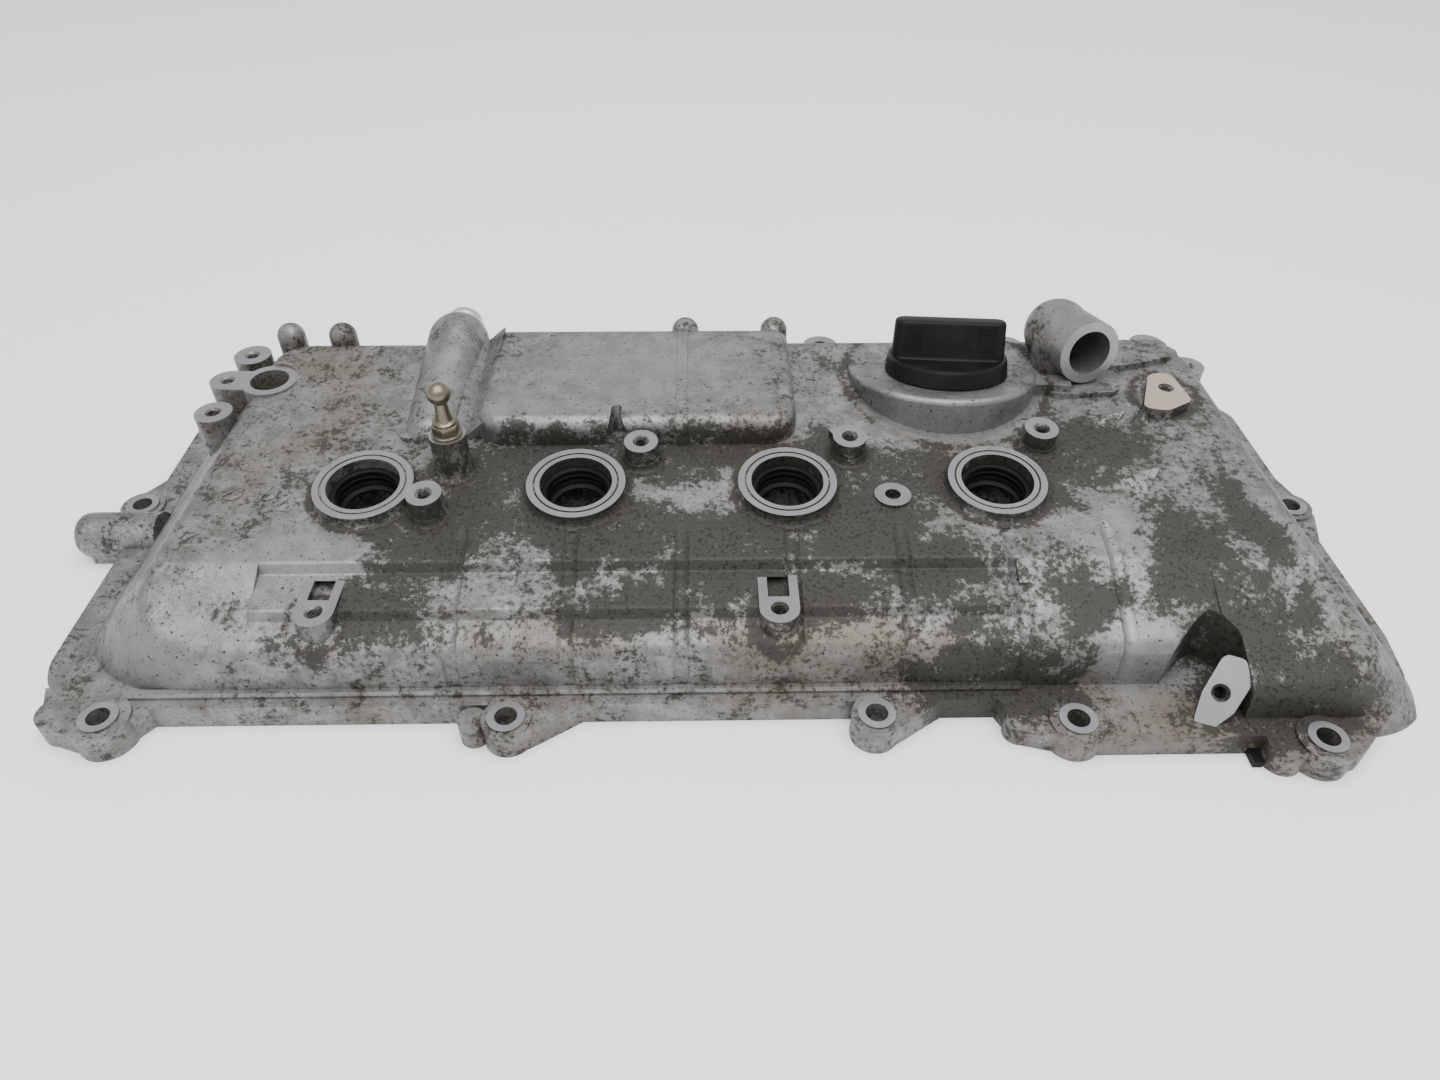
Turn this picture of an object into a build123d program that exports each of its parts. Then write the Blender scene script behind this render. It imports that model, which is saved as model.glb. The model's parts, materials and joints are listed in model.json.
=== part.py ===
"""Die-cast aluminium valve cover for a four-cylinder twin-cam engine, in millimetres.

The modelling frame has X along the row of plug wells, Y from the exhaust side to the intake
side and Z up from the sealing face. X = 0 is midway between the two middle plug wells and
Y = 0 is the line of the plug wells. The finished pieces are moved together at the end, so
that the origin is the bottom centre of the whole cover.
"""

from build123d import *
import math
import os

# ---------------------------------------------------------------- row of plug wells
BORE_PITCH = 87.5
HALF_PITCH = BORE_PITCH / 2
PLUG_XS = (-3 * HALF_PITCH, -HALF_PITCH, HALF_PITCH, 3 * HALF_PITCH)
PLUG_TILT = 5.47
RING_HEIGHT = 55.0
RING_RADIUS = 20.5
RING_FOOT_LENGTH = 7.0
WELL_RADIUS = 15.0
WELL_OUTER_RADIUS = 19.0
WELL_LENGTH = 33.0
RING_GROOVE_OUTER = 17.8
RING_GROOVE_INNER = 17.0
RING_GROOVE_DEPTH = 0.6
SEAL_TOP = 4.6
SEAL_LENGTH = 11.0
SEAL_LIP_RADIUS = 10.5
SEAL_LIP_DEPTH = 13.4
SEAL_LIP_THICKNESS = 2.2
SEAL_BORE_RADIUS = 12.4

# ---------------------------------------------------------------- deck and walls
WALL = 3.3
DECK_HEIGHT = 50.2
DECK_FRONT_Y = -38.5
DECK_REAR_Y = 107.5
FRONT_WALL_Y = -75.0
REAR_WALL_Y = 110.5
SHOULDER_Y = -72.5
SHOULDER_HEIGHT = 31.0
EDGE_BLEND = 8.0
STEP_FOOT = ((-60.5, 36.2), (-41.0, 42.4))
STEP_EDGE = ((-58.5, 40.2), (-38.5, 46.6))
STEP_FOOT_BLEND = 1.2
STEP_EDGE_BLEND = 2.0
PANEL_LEFT_X = -164.0
PANEL_RIGHT_X = 3 * HALF_PITCH
CAVITY_FRONT_Y = -70.5
CAVITY_SHOULDER = (-68.6, 28.6)
CAVITY_STEP = (-39.5, 38.9)
CAVITY_DECK_FRONT = (-33.5, 43.8)
CAVITY_REAR_TOP = (101.8, 56.4)
CAVITY_REAR_Y = 104.3

LEFT_FOOT_X = -249.5
LEFT_TOP_X = -190.8
RIGHT_FOOT_X = 294.0
RIGHT_TOP_X = 237.2
END_FORM_TOP = 62.0
LEFT_CORNER = 38.0
RIGHT_CORNER = 26.0
REAR_CORNER = 16.0
END_WALL = 4.8
EDGE_EPSILON = 0.01
STEEP_RUN = 0.3
LEVEL_RUN = 0.6

BULGE_LEFT_X = 207.0
BULGE_FRONT_Y = -93.0
BULGE_SHOULDER = (-89.5, 25.0)
BULGE_WALL = 3.5

# ---------------------------------------------------------------- flange
FLANGE_THICKNESS = 11.0
FLANGE_LEFT_X = -250.5
FLANGE_RIGHT_X = 288.0
FLANGE_FRONT_Y = -81.0
FLANGE_STEP_Y = -99.5
FLANGE_REAR_Y = 118.0
FLANGE_POINTS = (
    (FLANGE_LEFT_X, FLANGE_REAR_Y),
    (FLANGE_LEFT_X, FLANGE_FRONT_Y + 1.5),
    (-224.0, FLANGE_FRONT_Y),
    (137.0, FLANGE_FRONT_Y),
    (143.0, FLANGE_STEP_Y),
    (217.6, FLANGE_STEP_Y),
    (221.0, -107.0),
    (250.0, -108.5),
    (272.0, -87.5),
    (284.5, -72.0),
    (FLANGE_RIGHT_X, -50.0),
    (FLANGE_RIGHT_X, FLANGE_REAR_Y),
)
FLANGE_CORNERS = (14.0, 28.0, 2.0, 3.0, 9.0, 1.0, 9.0, 9.0, 9.0, 10.0, 10.0, 14.0)
FLANGE_LUGS = (
    (-236.0, -82.0, 8.0),
    (-79.0, -87.5, 5.5),
    (129.0, -88.5, 6.0),
    (224.6, -102.6, 7.6),
)
FLANGE_GUSSETS = (
    ((-72.0, -79.0), (-60.5, -95.0), (-54.5, -91.5), (-37.0, -80.0)),
    ((67.0, -79.0), (79.5, -95.0), (85.5, -91.0), (102.0, -80.0)),
    ((121.0, -80.0), (127.0, -94.0), (142.0, -98.0), (142.0, -80.0)),
    ((-246.0, -70.0), (-239.0, -89.0), (-216.0, -97.0), (-202.0, -80.0), (-195.0, -79.0)),
    ((-258.0, 48.0), (-249.0, 62.0), (-249.0, 20.0), (-262.0, 32.0)),
    ((286.0, 62.0), (291.5, 41.0), (294.0, 26.0), (286.0, 2.0)),
)

# ---------------------------------------------------------------- flange bolts
BOLT_SEAT_HEIGHT = 13.0
BOLT_SEAT_RADIUS = 7.2
BOLT_BOSS_HEIGHT = 12.2
BOLT_POCKET_RADIUS = 7.9
BOLT_POCKET_TOP = 40.0
BOLT_HOLE_RADIUS = 4.3
LOW_BOLTS = (
    (-218.2, -86.0, 11.2),
    (-65.9, -87.9, 9.4),
    (73.6, -88.2, 9.4),
    (149.0, -91.9, 10.6),
    (239.0, -101.8, 10.8),
    (-253.1, 39.4, 9.8),
    (284.7, 32.1, 9.8),
    (-150.0, 118.5, 9.4),
    (-45.0, 118.5, 9.4),
)
TALL_SEAT_HEIGHT = 52.0
TALL_HOLE_RADIUS = 3.5
TALL_BOLTS = ((68.0, 113.5, 8.5), (162.0, 112.5, 8.0), (233.0, 113.5, 8.5))
CENTRE_BOLT = (BORE_PITCH, -4.1)
CENTRE_SEAT_RADIUS = 7.6
CENTRE_SEAT_RISE = 0.8
CENTRE_COLUMN_RADIUS = 8.5
CENTRE_COLUMN_FOOT = 8.0
CENTRE_HOLE_RADIUS = 3.3

# ---------------------------------------------------------------- gasket
GASKET_POINTS = (
    (-247.2, 108.3),
    (-247.2, -77.7),
    (158.0, -77.7),
    (170.0, -94.2),
    (246.0, -95.4),
    (268.0, -80.0),
    (278.9, -62.0),
    (278.9, 108.3),
)
GASKET_CORNERS = (11.0, 26.0, 9.0, 9.0, 10.0, 10.0, 10.0, 11.0)
GASKET_WIDTH = 3.6
GASKET_LAND = 1.6
GASKET_HEIGHT = 4.6
GASKET_LIFT = 0.3
GASKET_CLEARANCE = 0.1
GASKET_TAB = (215.0, -99.6, 3.6, 12.8)
GASKET_TAB_HEIGHT = 3.0

# ---------------------------------------------------------------- threaded bosses
M6_RADIUS = 2.6
M6_MOUTH_RADIUS = 3.5
M6_MOUTH_DEPTH = 0.9
M6_DEPTH = 12.0
M6_FLOOR = 2.5
M6_SLEEVE_RADIUS = 5.8
COIL_BOSS_RADIUS = 7.2
COIL_BOSS_SINK = 14.0
COIL_BOSSES = (
    (-103.0, -12.7, 60.0),
    (-17.3, 18.7, 62.0),
    (71.5, 21.3, 62.0),
    (155.0, 26.2, 62.0),
)
CLIP_BOSSES = ((-137.7, -60.9), (37.4, -61.2))
CLIP_TOP = 42.0
CLIP_FOOT = 30.0
CLIP_RADIUS = 7.7
CLIP_LENGTH = 18.0
CLIP_POCKET_WIDTH = 8.3
CLIP_POCKET_DEPTH = 3.2
CLIP_POCKET_START = 6.2
EDGE_POSTS = ((-212.3, 54.4, 54.0, 8.3), (-212.5, 76.3, 57.0, 8.0), (-208.2, 98.5, 57.0, 8.6))
EDGE_POST_FOOT = 20.0
SENSOR_BORE = (-192.4, 75.2)
SENSOR_TOP = 57.6
SENSOR_BORE_RADIUS = 8.7
SENSOR_RIM_RADIUS = 12.6
SENSOR_SLEEVE_FOOT = 42.0
REAR_PILLARS = (
    (-191.0, 108.0, 61.7),
    (-166.0, 108.0, 61.7),
    (0.7, 107.5, 63.8),
    (43.8, 107.5, 63.8),
)
PILLAR_RADIUS = 6.5
REAR_STUD = (82.9, 112.0, 50.0, 4.8)
COIL_WEBS = (
    ((-17.3, 18.7), (-13.0, 30.0), 58.5),
    ((71.5, 21.3), (66.5, 34.0), 57.0),
)
COIL_WEB_WIDTH = 5.0
FOOT_BLEND = 2.8
FOOT_SINK = 0.15

# ---------------------------------------------------------------- breather
CHAMBER_LEFT_X = -89.0
CHAMBER_RIGHT_X = 50.0
CHAMBER_FRONT_Y = 28.5
CHAMBER_REAR_Y = 105.0
CHAMBER_TOP = 65.3
CHAMBER_ROOF_TILT = 1.7
CHAMBER_BLEND = 5.6
CHAMBER_CORNER = 12.0
CHAMBER_FLOOR = 40.0
CHAMBER_RIDGE_X = -0.3
CHAMBER_RIDGE_WIDTH = 4.4
CHAMBER_RIDGE_RISE = 0.9
SCOOP_FOOT = (-27.0, 25.5, 47.0, 9.5)
SCOOP_TIP = (-28.8, 40.0, 68.0, 1.4)
SCOOP_OPENING = 30.0
VALLEY_FRONT = (33.0, 55.5)
VALLEY_REAR = (104.0, 61.5)
VALLEY_LEFT_X = -99.0
VALLEY_X = -94.0
VALLEY_RISE = 3.5
VALLEY_DEPTH = 12.0
HUMP_X = -109.8
HUMP_RADIUS = 14.6
HUMP_REAR_Y = 106.0
HUMP_AXIS_Z = 58.8
HUMP_SECTIONS = (
    (28.0, 41.5, 10.5),
    (31.0, 44.5, 13.0),
    (37.0, 47.0, 14.4),
    (HUMP_REAR_Y, HUMP_AXIS_Z, HUMP_RADIUS),
)
HUMP_BASE = 38.0
VENT_RADIUS = 8.9
VENT_WALL = 1.3
VENT_END_Y = 126.0
VENT_PRESS_Y = 106.0
VENT_BEAD_Y = 122.0
VENT_BEAD_RISE = 0.8
VENT_BEAD_LENGTH = 1.6
VENT_END_TAPER = 0.5
RIM_WALL = 4.5
RIM_BOTTOM = 42.0
RIM_CORNER = 12.0
RIM_PLAN = (
    (-127.5, 25.0),
    (53.0, 25.0),
    (53.0, 107.0),
    (-127.5, 107.0),
)
PASSAGE_WIDTH = 40.0
PASSAGE_TOP = 51.0
BAFFLE_THICKNESS = 1.6
BAFFLE_CORNER = 11.0
BAFFLE_PLAN = (
    (-126.5, 26.0),
    (52.0, 26.0),
    (52.0, 102.2),
    (-126.5, 102.2),
)
BAFFLE_HOLE_RADIUS = 2.8
BAFFLE_SCREWS = (
    (-119.0, 36.0),
    (-119.0, 92.0),
    (-70.0, 36.0),
    (-70.0, 97.4),
    (-12.0, 36.0),
    (-12.0, 97.4),
    (42.0, 36.0),
    (42.0, 95.0),
)
BAFFLE_BOSS_RADIUS = 5.2
SCREW_RADIUS = 2.5
SCREW_LENGTH = 10.0
SCREW_HEAD_RADIUS = 4.6
SCREW_HEAD_HEIGHT = 3.2
SCREW_RECESS_RADIUS = 2.2
SCREW_RECESS_DEPTH = 1.8
DRAIN_RADIUS = 5.0
DRAIN_LENGTH = 12.0
DRAIN_PLACE = (20.0, 60.0)

# ---------------------------------------------------------------- ball stud
STUD_PLACE = (-96.6, 13.6)
STUD_BOSS_RADIUS = 7.6
STUD_BOSS_TOP = 70.0
STUD_BALL_Z = 89.6
STUD_BALL_RADIUS = 4.8
STUD_NECK_RADIUS = 2.6
STUD_HEX_RADIUS = 5.2
STUD_HEX_HEIGHT = 6.0
STUD_FLANGE_RADIUS = 6.4
STUD_FLANGE_HEIGHT = 1.6
STUD_THREAD_LENGTH = 10.0

# ---------------------------------------------------------------- oil filler
FILLER_TILT = -13.0
SEAT_CENTRE = (120.8, 77.5)
SEAT_RADIUS = 43.5
SEAT_ORIGIN = (121.9, 72.7, 61.75)
SEAT_FLOOR = 45.0
SEAT_FLAT_RADIUS = 30.0
SEAT_FLAT_DEPTH = 8.0
SEAT_PLATE_RADIUS = 31.5
SEAT_EDGE_BLEND = 2.0
NECK_RADIUS = 19.3
NECK_WALL = 3.2
NECK_LENGTH = 20.0
NECK_START = 4.0
CAP_GAP = 0.3
CAP_SKIRT_RADIUS = 28.2
CAP_TOP_RADIUS = 26.8
CAP_SKIRT_HEIGHT = 8.4
CAP_DISH_RADIUS = 23.5
CAP_DISH_DEPTH = 1.2
CAP_SEAL_SPACE = 2.6
CAP_PLUG_RADIUS = 18.7
CAP_PLUG_BORE = 15.5
CAP_PLUG_LENGTH = 15.0
GRIP_LENGTH = 52.0
GRIP_WIDTH = 12.0
GRIP_TOP = 24.5
GRIP_TURN = -8.0
GRIP_DRAFT = 1.6
SEAL_INNER_RADIUS = 19.8
SEAL_OUTER_RADIUS = 24.6
SEAL_CLEARANCE = 0.1

# ---------------------------------------------------------------- valve boss and right end
VALVE_FACE = (185.0, 67.7, 74.0)
VALVE_NORMAL = (0.22, -0.96, 0.16)
VALVE_SIDE = (0.96, 0.22, 0.0)
VALVE_RADIUS = 14.5
VALVE_BORE_RADIUS = 10.1
VALVE_BORE_DEPTH = 34.0
VALVE_LENGTH = 29.0
VALVE_BODY_RADIUS = 15.2
VALVE_COLUMN = (180.5, 86.0, 70.0, 15.0)
VALVE_LINK = ((157.0, 66.0), (178.0, 64.0), 61.5)
VALVE_LINK_WIDTH = 9.0
PAD_TOP = 60.0
PAD_PLAN = ((206.0, 44.5), (216.0, 41.5), (229.8, 49.5), (227.8, 74.0), (217.0, 71.5))
PAD_BLENDS = (3.0, 8.0, 4.5, 5.0, 6.0)
PAD_HOLE = (221.5, 60.2)
RIGHT_POST = (245.6, 92.0, 52.0, 8.0)
VALVE_STEP_PLAN = ((168.0, 57.0), (199.0, 59.5), (203.0, 66.0), (203.0, 100.0), (168.0, 100.0))
VALVE_STEP_TOP = 58.5
REAR_STEP_PLAN = ((200.0, 76.0), (216.0, 80.0), (234.0, 86.0), (234.0, 101.0), (200.0, 101.0))
REAR_STEP_TOP = 61.2
STEP_BLEND = 4.0
RIGHT_GUSSETS = (
    ((170.6, 38.8, 53.4), (198.5, 45.2, 57.6), (191.5, 38.0, 53.6)),
    ((168.5, -1.7, 49.9), (203.2, 8.9, 54.6), (193.5, -4.0, 49.8)),
    ((199.7, 38.6, 53.6), (208.0, 47.5, 59.6), (208.5, 40.5, 53.8)),
)
RIB_FOOT = 46.0

# ---------------------------------------------------------------- corner recess and bracket pad
NOTCH_PLAN = (
    (182.0, -100.0),
    (182.0, -77.0),
    (187.9, -72.1),
    (197.2, -62.8),
    (202.5, -59.2),
    (206.0, -60.3),
    (212.5, -68.0),
    (212.5, -100.0),
)
NOTCH_BLENDS = (0.0, 4.0, 2.0, 4.0, 2.5, 2.5, 6.0, 0.0)
NOTCH_TOP = 60.0
BRACKET_PLAN = (
    (192.5, -92.5),
    (196.3, -84.9),
    (204.5, -76.0),
    (211.8, -79.0),
    (213.0, -86.1),
    (206.5, -92.6),
    (196.2, -96.8),
)
BRACKET_BLENDS = (3.0, 2.0, 3.5, 3.0, 3.0, 3.0, 2.5)
BRACKET_TOP = 34.0
BRACKET_HOLE = (202.5, -86.4, 20.0)
BRACKET_NORMAL = (-0.25, -0.66, 0.71)
BRACKET_SIDE = (0.66, -0.25, 0.0)
BRACKET_HOLE_DEPTH = 11.0
BRACKET_CUT = 70.0

# ---------------------------------------------------------------- left stub, seams, stiffeners
STUB_Y = 20.8
STUB_Z = 10.3
STUB_RADIUS = 10.3
STUB_LEFT_X = -273.5
STUB_RIGHT_X = -236.0
STUB_BLEND = 5.5
STUB_LOW = 4.0
SEAM_XS = (-BORE_PITCH, -HALF_PITCH, 0.0, HALF_PITCH, BORE_PITCH, PANEL_RIGHT_X)
SMOOTH_SEAM_X = 171.0
SEAM_RADIUS = 5.0
SEAM_DEPTH = 1.1
SEAM_LIP = 0.4
SEAM_START = -19.0
SEAM_RAMP = -27.0
SEAM_FOOT_Z = 12.0
FOOT_BEAD = (
    (-76.8, 10.0),
    (-76.8, 12.2),
    (-75.8, 13.3),
    (-73.5, 13.3),
    (-73.5, 10.0),
)
FOOT_BEAD_LEFT_X = -215.0
STIFFENER_XS = (-175.0, -BORE_PITCH, 0.0, BORE_PITCH, 175.0)
STIFFENER_WIDTH = 3.0
STIFFENER_BOTTOM = 36.0
STIFFENER_TOP = 45.0
STIFFENER_FRONT_Y = -34.0
STIFFENER_REAR_Y = 24.0

os.makedirs("parts", exist_ok=True)


def deck_z(y):
    """Height of the deck surface at a place across the cover."""
    return DECK_HEIGHT + y * math.tan(math.radians(PLUG_TILT))


def leaning_plane(x, y, z, degrees):
    """A plane whose normal leans from upright towards -Y."""
    angle = math.radians(degrees)
    return Plane(origin=(x, y, z), x_dir=(1, 0, 0), z_dir=(0, -math.sin(angle), math.cos(angle)))


def post(x, y, low, high, radius, mode=Mode.ADD):
    """An upright round post or hole."""
    with BuildSketch(Plane.XY.offset(low)) as disc:
        with Locations((x, y)):
            Circle(radius)
    extrude(disc.sketch, amount=high - low, mode=mode)


def rod(plane, radius, depth, mode=Mode.ADD):
    """A round rod or hole that runs back from a plane against its normal."""
    with BuildSketch(plane) as disc:
        Circle(radius)
    extrude(disc.sketch, amount=-depth, mode=mode)


def threaded_hole(plane, depth=M6_DEPTH):
    """The space of a blind tapped hole with a countersunk mouth."""
    rod(plane, M6_RADIUS, depth)
    with BuildSketch(plane) as mouth:
        Circle(M6_MOUTH_RADIUS)
    with BuildSketch(plane.offset(-M6_MOUTH_DEPTH)) as throat:
        Circle(M6_RADIUS)
    loft([mouth.sketch.face(), throat.sketch.face()])


def slab(points, radii, low, high, mode=Mode.ADD):
    """A plan outline with rounded corners, run upwards."""
    with BuildSketch(Plane.XY.offset(low)) as plan:
        with BuildLine():
            FilletPolyline(*points, radius=radii, close=True)
        make_face()
    extrude(plan.sketch, amount=high - low, mode=mode)


def prism(points, radii, start, end, mode=Mode.ADD):
    """A cross-section in YZ with rounded corners, run along X."""
    with BuildSketch(Plane.YZ.offset(start)) as cross:
        with BuildLine():
            FilletPolyline(*points, radius=radii, close=True)
        make_face()
    extrude(cross.sketch, amount=end - start, mode=mode)


def end_slope(foot_x, top_x):
    """Trims the form being built to an end face that leans inwards."""
    with BuildSketch(Plane.XZ.offset(-FLANGE_REAR_Y)) as side:
        Polygon(
            (-foot_x, 0),
            (foot_x, 0),
            (top_x, END_FORM_TOP),
            (-foot_x, END_FORM_TOP),
            align=None,
        )
    extrude(side.sketch, amount=2 * FLANGE_REAR_Y, mode=Mode.INTERSECT)


def cross_section(points, start, end, mode=Mode.ADD):
    """A sharp-edged cross-section in YZ, run along X."""
    with BuildSketch(Plane.YZ.offset(start)) as cross:
        Polygon(*points, align=None)
    extrude(cross.sketch, amount=end - start, mode=mode)


def on_plane(edge, plane):
    """True for an edge that lies in a plane."""
    heights = [abs(plane.to_local_coords(edge @ part).Z) for part in (0, 0.5, 1)]
    return max(heights) < EDGE_EPSILON


def is_corner(edge, side):
    """True for the slanted edge between an end face and the front (-1) or rear (1) wall."""
    middle = edge.center()
    tangent = edge.tangent_at(0)
    slanted = min(abs(tangent.X), abs(tangent.Z)) > STEEP_RUN
    low = FLANGE_THICKNESS < middle.Z < SHOULDER_HEIGHT
    return slanted and low and middle.Y * side > -SHOULDER_Y - EDGE_BLEND


def is_top(edge, inner_x):
    """True for the edges around the deck, front and end, away from the inner face."""
    middle = edge.center()
    on_inner_face = abs(middle.X - inner_x) < EDGE_EPSILON
    level = abs(edge.tangent_at(0).Z) < LEVEL_RUN
    return level and middle.Z > BULGE_SHOULDER[1] - EDGE_EPSILON and not on_inner_face


def bar(start, end, width, low, high):
    """A straight upright rib between two places in plan."""
    run = math.hypot(end[0] - start[0], end[1] - start[1])
    turn = math.degrees(math.atan2(end[1] - start[1], end[0] - start[0]))
    middle = ((start[0] + end[0]) / 2, (start[1] + end[1]) / 2)
    with BuildSketch(Plane.XY.offset(low)) as plan:
        with Locations(middle):
            Rectangle(run, width, rotation=turn)
    extrude(plan.sketch, amount=high - low)


def blended_foot(x, y, radius):
    """The concave ring of metal where a round boss grows out of the deck."""
    deck = leaning_plane(x, y, deck_z(y) - FOOT_SINK, PLUG_TILT)
    side = Plane(origin=deck.origin, x_dir=deck.x_dir, z_dir=-deck.y_dir)
    outer = radius + FOOT_BLEND
    bend = FOOT_BLEND * (1 - math.sqrt(1 / 2))
    with BuildSketch(side) as profile:
        with BuildLine():
            Polyline((outer, 0), (outer, -FOOT_BLEND), (0, -FOOT_BLEND))
            Polyline((0, -FOOT_BLEND), (0, FOOT_BLEND), (radius, FOOT_BLEND))
            ThreePointArc((radius, FOOT_BLEND), (radius + bend, bend), (outer, 0))
        make_face()
    revolve(profile.sketch, axis=Axis(deck.origin, deck.z_dir))


def gusset_wedge(low, high, foot):
    """A three-cornered gusset whose upper edge rises from low to high."""
    upper_edge = Vector(*high) - Vector(*low)
    lean = upper_edge.cross(Vector(*foot) - Vector(*low))
    slope = Plane(origin=low, x_dir=upper_edge, z_dir=lean if lean.Z > 0 else -lean)
    with BuildPart() as wedge:
        with BuildSketch(Plane.XY.offset(RIB_FOOT)):
            Polygon(low[0:2], high[0:2], foot[0:2], align=None)
        extrude(amount=high[2] - RIB_FOOT)
        split(bisect_by=slope, keep=Keep.BOTTOM)
    return wedge.part


def scoop(margin):
    """The rounded wedge taken out of the chamber's front, wide at the foot and narrow above."""
    with BuildPart() as wedge:
        for x, y, z, radius in (SCOOP_FOOT, SCOOP_TIP):
            with BuildSketch(Plane.XY.offset(z)):
                with Locations((x, y - SCOOP_OPENING / 2)):
                    SlotCenterToCenter(SCOOP_OPENING, 2 * (radius + margin), rotation=90)
        loft(ruled=True)
    return wedge.part


def seam(points, radii, x):
    """The space of a shallow rounded groove that follows the surface down the front."""
    with BuildLine(Plane.YZ.offset(x)) as run:
        FilletPolyline(*points, radius=radii)
    with BuildSketch(Plane(origin=run.line @ 0, x_dir=(1, 0, 0), z_dir=run.line % 0)) as cross:
        with Locations((0, SEAM_RADIUS - SEAM_DEPTH)):
            Circle(SEAM_RADIUS)
        with Locations((0, SEAM_LIP + SEAM_RADIUS)):
            Rectangle(2 * SEAM_RADIUS, 2 * SEAM_RADIUS, mode=Mode.SUBTRACT)
    sweep(cross.sketch, path=run.line)


# ---------------------------------------------------------------- outer forms of the casting
SMOOTH_PROFILE = (
    (FRONT_WALL_Y, 0),
    (SHOULDER_Y, SHOULDER_HEIGHT),
    (DECK_FRONT_Y, deck_z(DECK_FRONT_Y)),
    (DECK_REAR_Y, deck_z(DECK_REAR_Y)),
    (REAR_WALL_Y, 0),
)
SMOOTH_BLENDS = (0, EDGE_BLEND, EDGE_BLEND, EDGE_BLEND, 0)
STEPPED_PROFILE = (
    (FRONT_WALL_Y, 0),
    (SHOULDER_Y, SHOULDER_HEIGHT),
    STEP_FOOT[0],
    STEP_EDGE[0],
    STEP_FOOT[1],
    STEP_EDGE[1],
    (DECK_REAR_Y, deck_z(DECK_REAR_Y)),
    (REAR_WALL_Y, 0),
)
STEPPED_BLENDS = (
    0,
    EDGE_BLEND,
    STEP_FOOT_BLEND,
    STEP_EDGE_BLEND,
    STEP_FOOT_BLEND,
    STEP_EDGE_BLEND,
    EDGE_BLEND,
    0,
)
BULGE_PROFILE = (
    (BULGE_FRONT_Y, 0),
    BULGE_SHOULDER,
    (DECK_FRONT_Y, deck_z(DECK_FRONT_Y)),
    (DECK_REAR_Y, deck_z(DECK_REAR_Y)),
    (REAR_WALL_Y, 0),
)
CAVITY_PROFILE = (
    (CAVITY_FRONT_Y, 0),
    CAVITY_SHOULDER,
    CAVITY_STEP,
    CAVITY_DECK_FRONT,
    CAVITY_REAR_TOP,
    (CAVITY_REAR_Y, 0),
)

CAVITY_BULGE_PROFILE = (
    (BULGE_FRONT_Y + BULGE_WALL, 0),
    (BULGE_SHOULDER[0] + BULGE_WALL, BULGE_SHOULDER[1] - WALL / 2),
    CAVITY_STEP,
    CAVITY_DECK_FRONT,
    CAVITY_REAR_TOP,
    (CAVITY_REAR_Y, 0),
)

# ---------------------------------------------------------------- gasket groove and the room inside it
with BuildPart() as groove:
    with BuildSketch() as gasket_path:
        with BuildLine():
            FilletPolyline(*GASKET_POINTS, radius=GASKET_CORNERS, close=True)
        make_face()
    with BuildSketch() as gasket_inner:
        add(gasket_path.sketch)
        offset(amount=-GASKET_WIDTH)
    with BuildSketch():
        add(gasket_path.sketch)
        add(gasket_inner.sketch, mode=Mode.SUBTRACT)
    extrude(amount=GASKET_LIFT + GASKET_HEIGHT)

with BuildPart() as inner_room:
    with BuildSketch():
        add(gasket_inner.sketch)
        offset(amount=-GASKET_LAND)
    extrude(amount=END_FORM_TOP)

# ---------------------------------------------------------------- ends of the casting and the cavities
with BuildPart() as left_form:
    cross_section(SMOOTH_PROFILE, LEFT_FOOT_X, PANEL_LEFT_X)
    end_slope(LEFT_FOOT_X, LEFT_TOP_X)
    fillet(left_form.edges().filter_by(lambda e: is_corner(e, -1)), LEFT_CORNER)
    fillet(left_form.edges().filter_by(lambda e: is_corner(e, 1)), REAR_CORNER)
    fillet(left_form.edges().filter_by(lambda e: is_top(e, PANEL_LEFT_X)), EDGE_BLEND)

with BuildPart() as right_form:
    cross_section(BULGE_PROFILE, BULGE_LEFT_X, RIGHT_FOOT_X)
    end_slope(RIGHT_FOOT_X, RIGHT_TOP_X)
    fillet(right_form.edges().filter_by(lambda e: is_corner(e, -1)), RIGHT_CORNER)
    fillet(right_form.edges().filter_by(lambda e: is_corner(e, 1)), REAR_CORNER)
    fillet(right_form.edges().filter_by(lambda e: is_top(e, BULGE_LEFT_X)), EDGE_BLEND)

with BuildPart() as cavity_left:
    cross_section(CAVITY_PROFILE, LEFT_FOOT_X, PANEL_RIGHT_X)
    end_slope(LEFT_FOOT_X + END_WALL, LEFT_TOP_X + END_WALL)
    fillet(cavity_left.edges().filter_by(lambda e: is_corner(e, -1)), LEFT_CORNER - WALL)
    fillet(cavity_left.edges().filter_by(lambda e: is_corner(e, 1)), REAR_CORNER - WALL)
    add(inner_room.part, mode=Mode.INTERSECT)

with BuildPart() as cavity_right:
    cross_section(CAVITY_BULGE_PROFILE, BULGE_LEFT_X, RIGHT_FOOT_X)
    end_slope(RIGHT_FOOT_X - END_WALL, RIGHT_TOP_X - END_WALL)
    fillet(cavity_right.edges().filter_by(lambda e: is_corner(e, -1)), RIGHT_CORNER - WALL)
    fillet(cavity_right.edges().filter_by(lambda e: is_corner(e, 1)), REAR_CORNER - WALL)
    add(inner_room.part, mode=Mode.INTERSECT)
    cross_section(CAVITY_PROFILE, PANEL_RIGHT_X, BULGE_LEFT_X)
    with BuildSketch():
        with BuildLine():
            FilletPolyline(*NOTCH_PLAN, radius=NOTCH_BLENDS, close=True)
        make_face()
        offset(amount=WALL)
    extrude(amount=NOTCH_TOP, mode=Mode.SUBTRACT)

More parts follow.
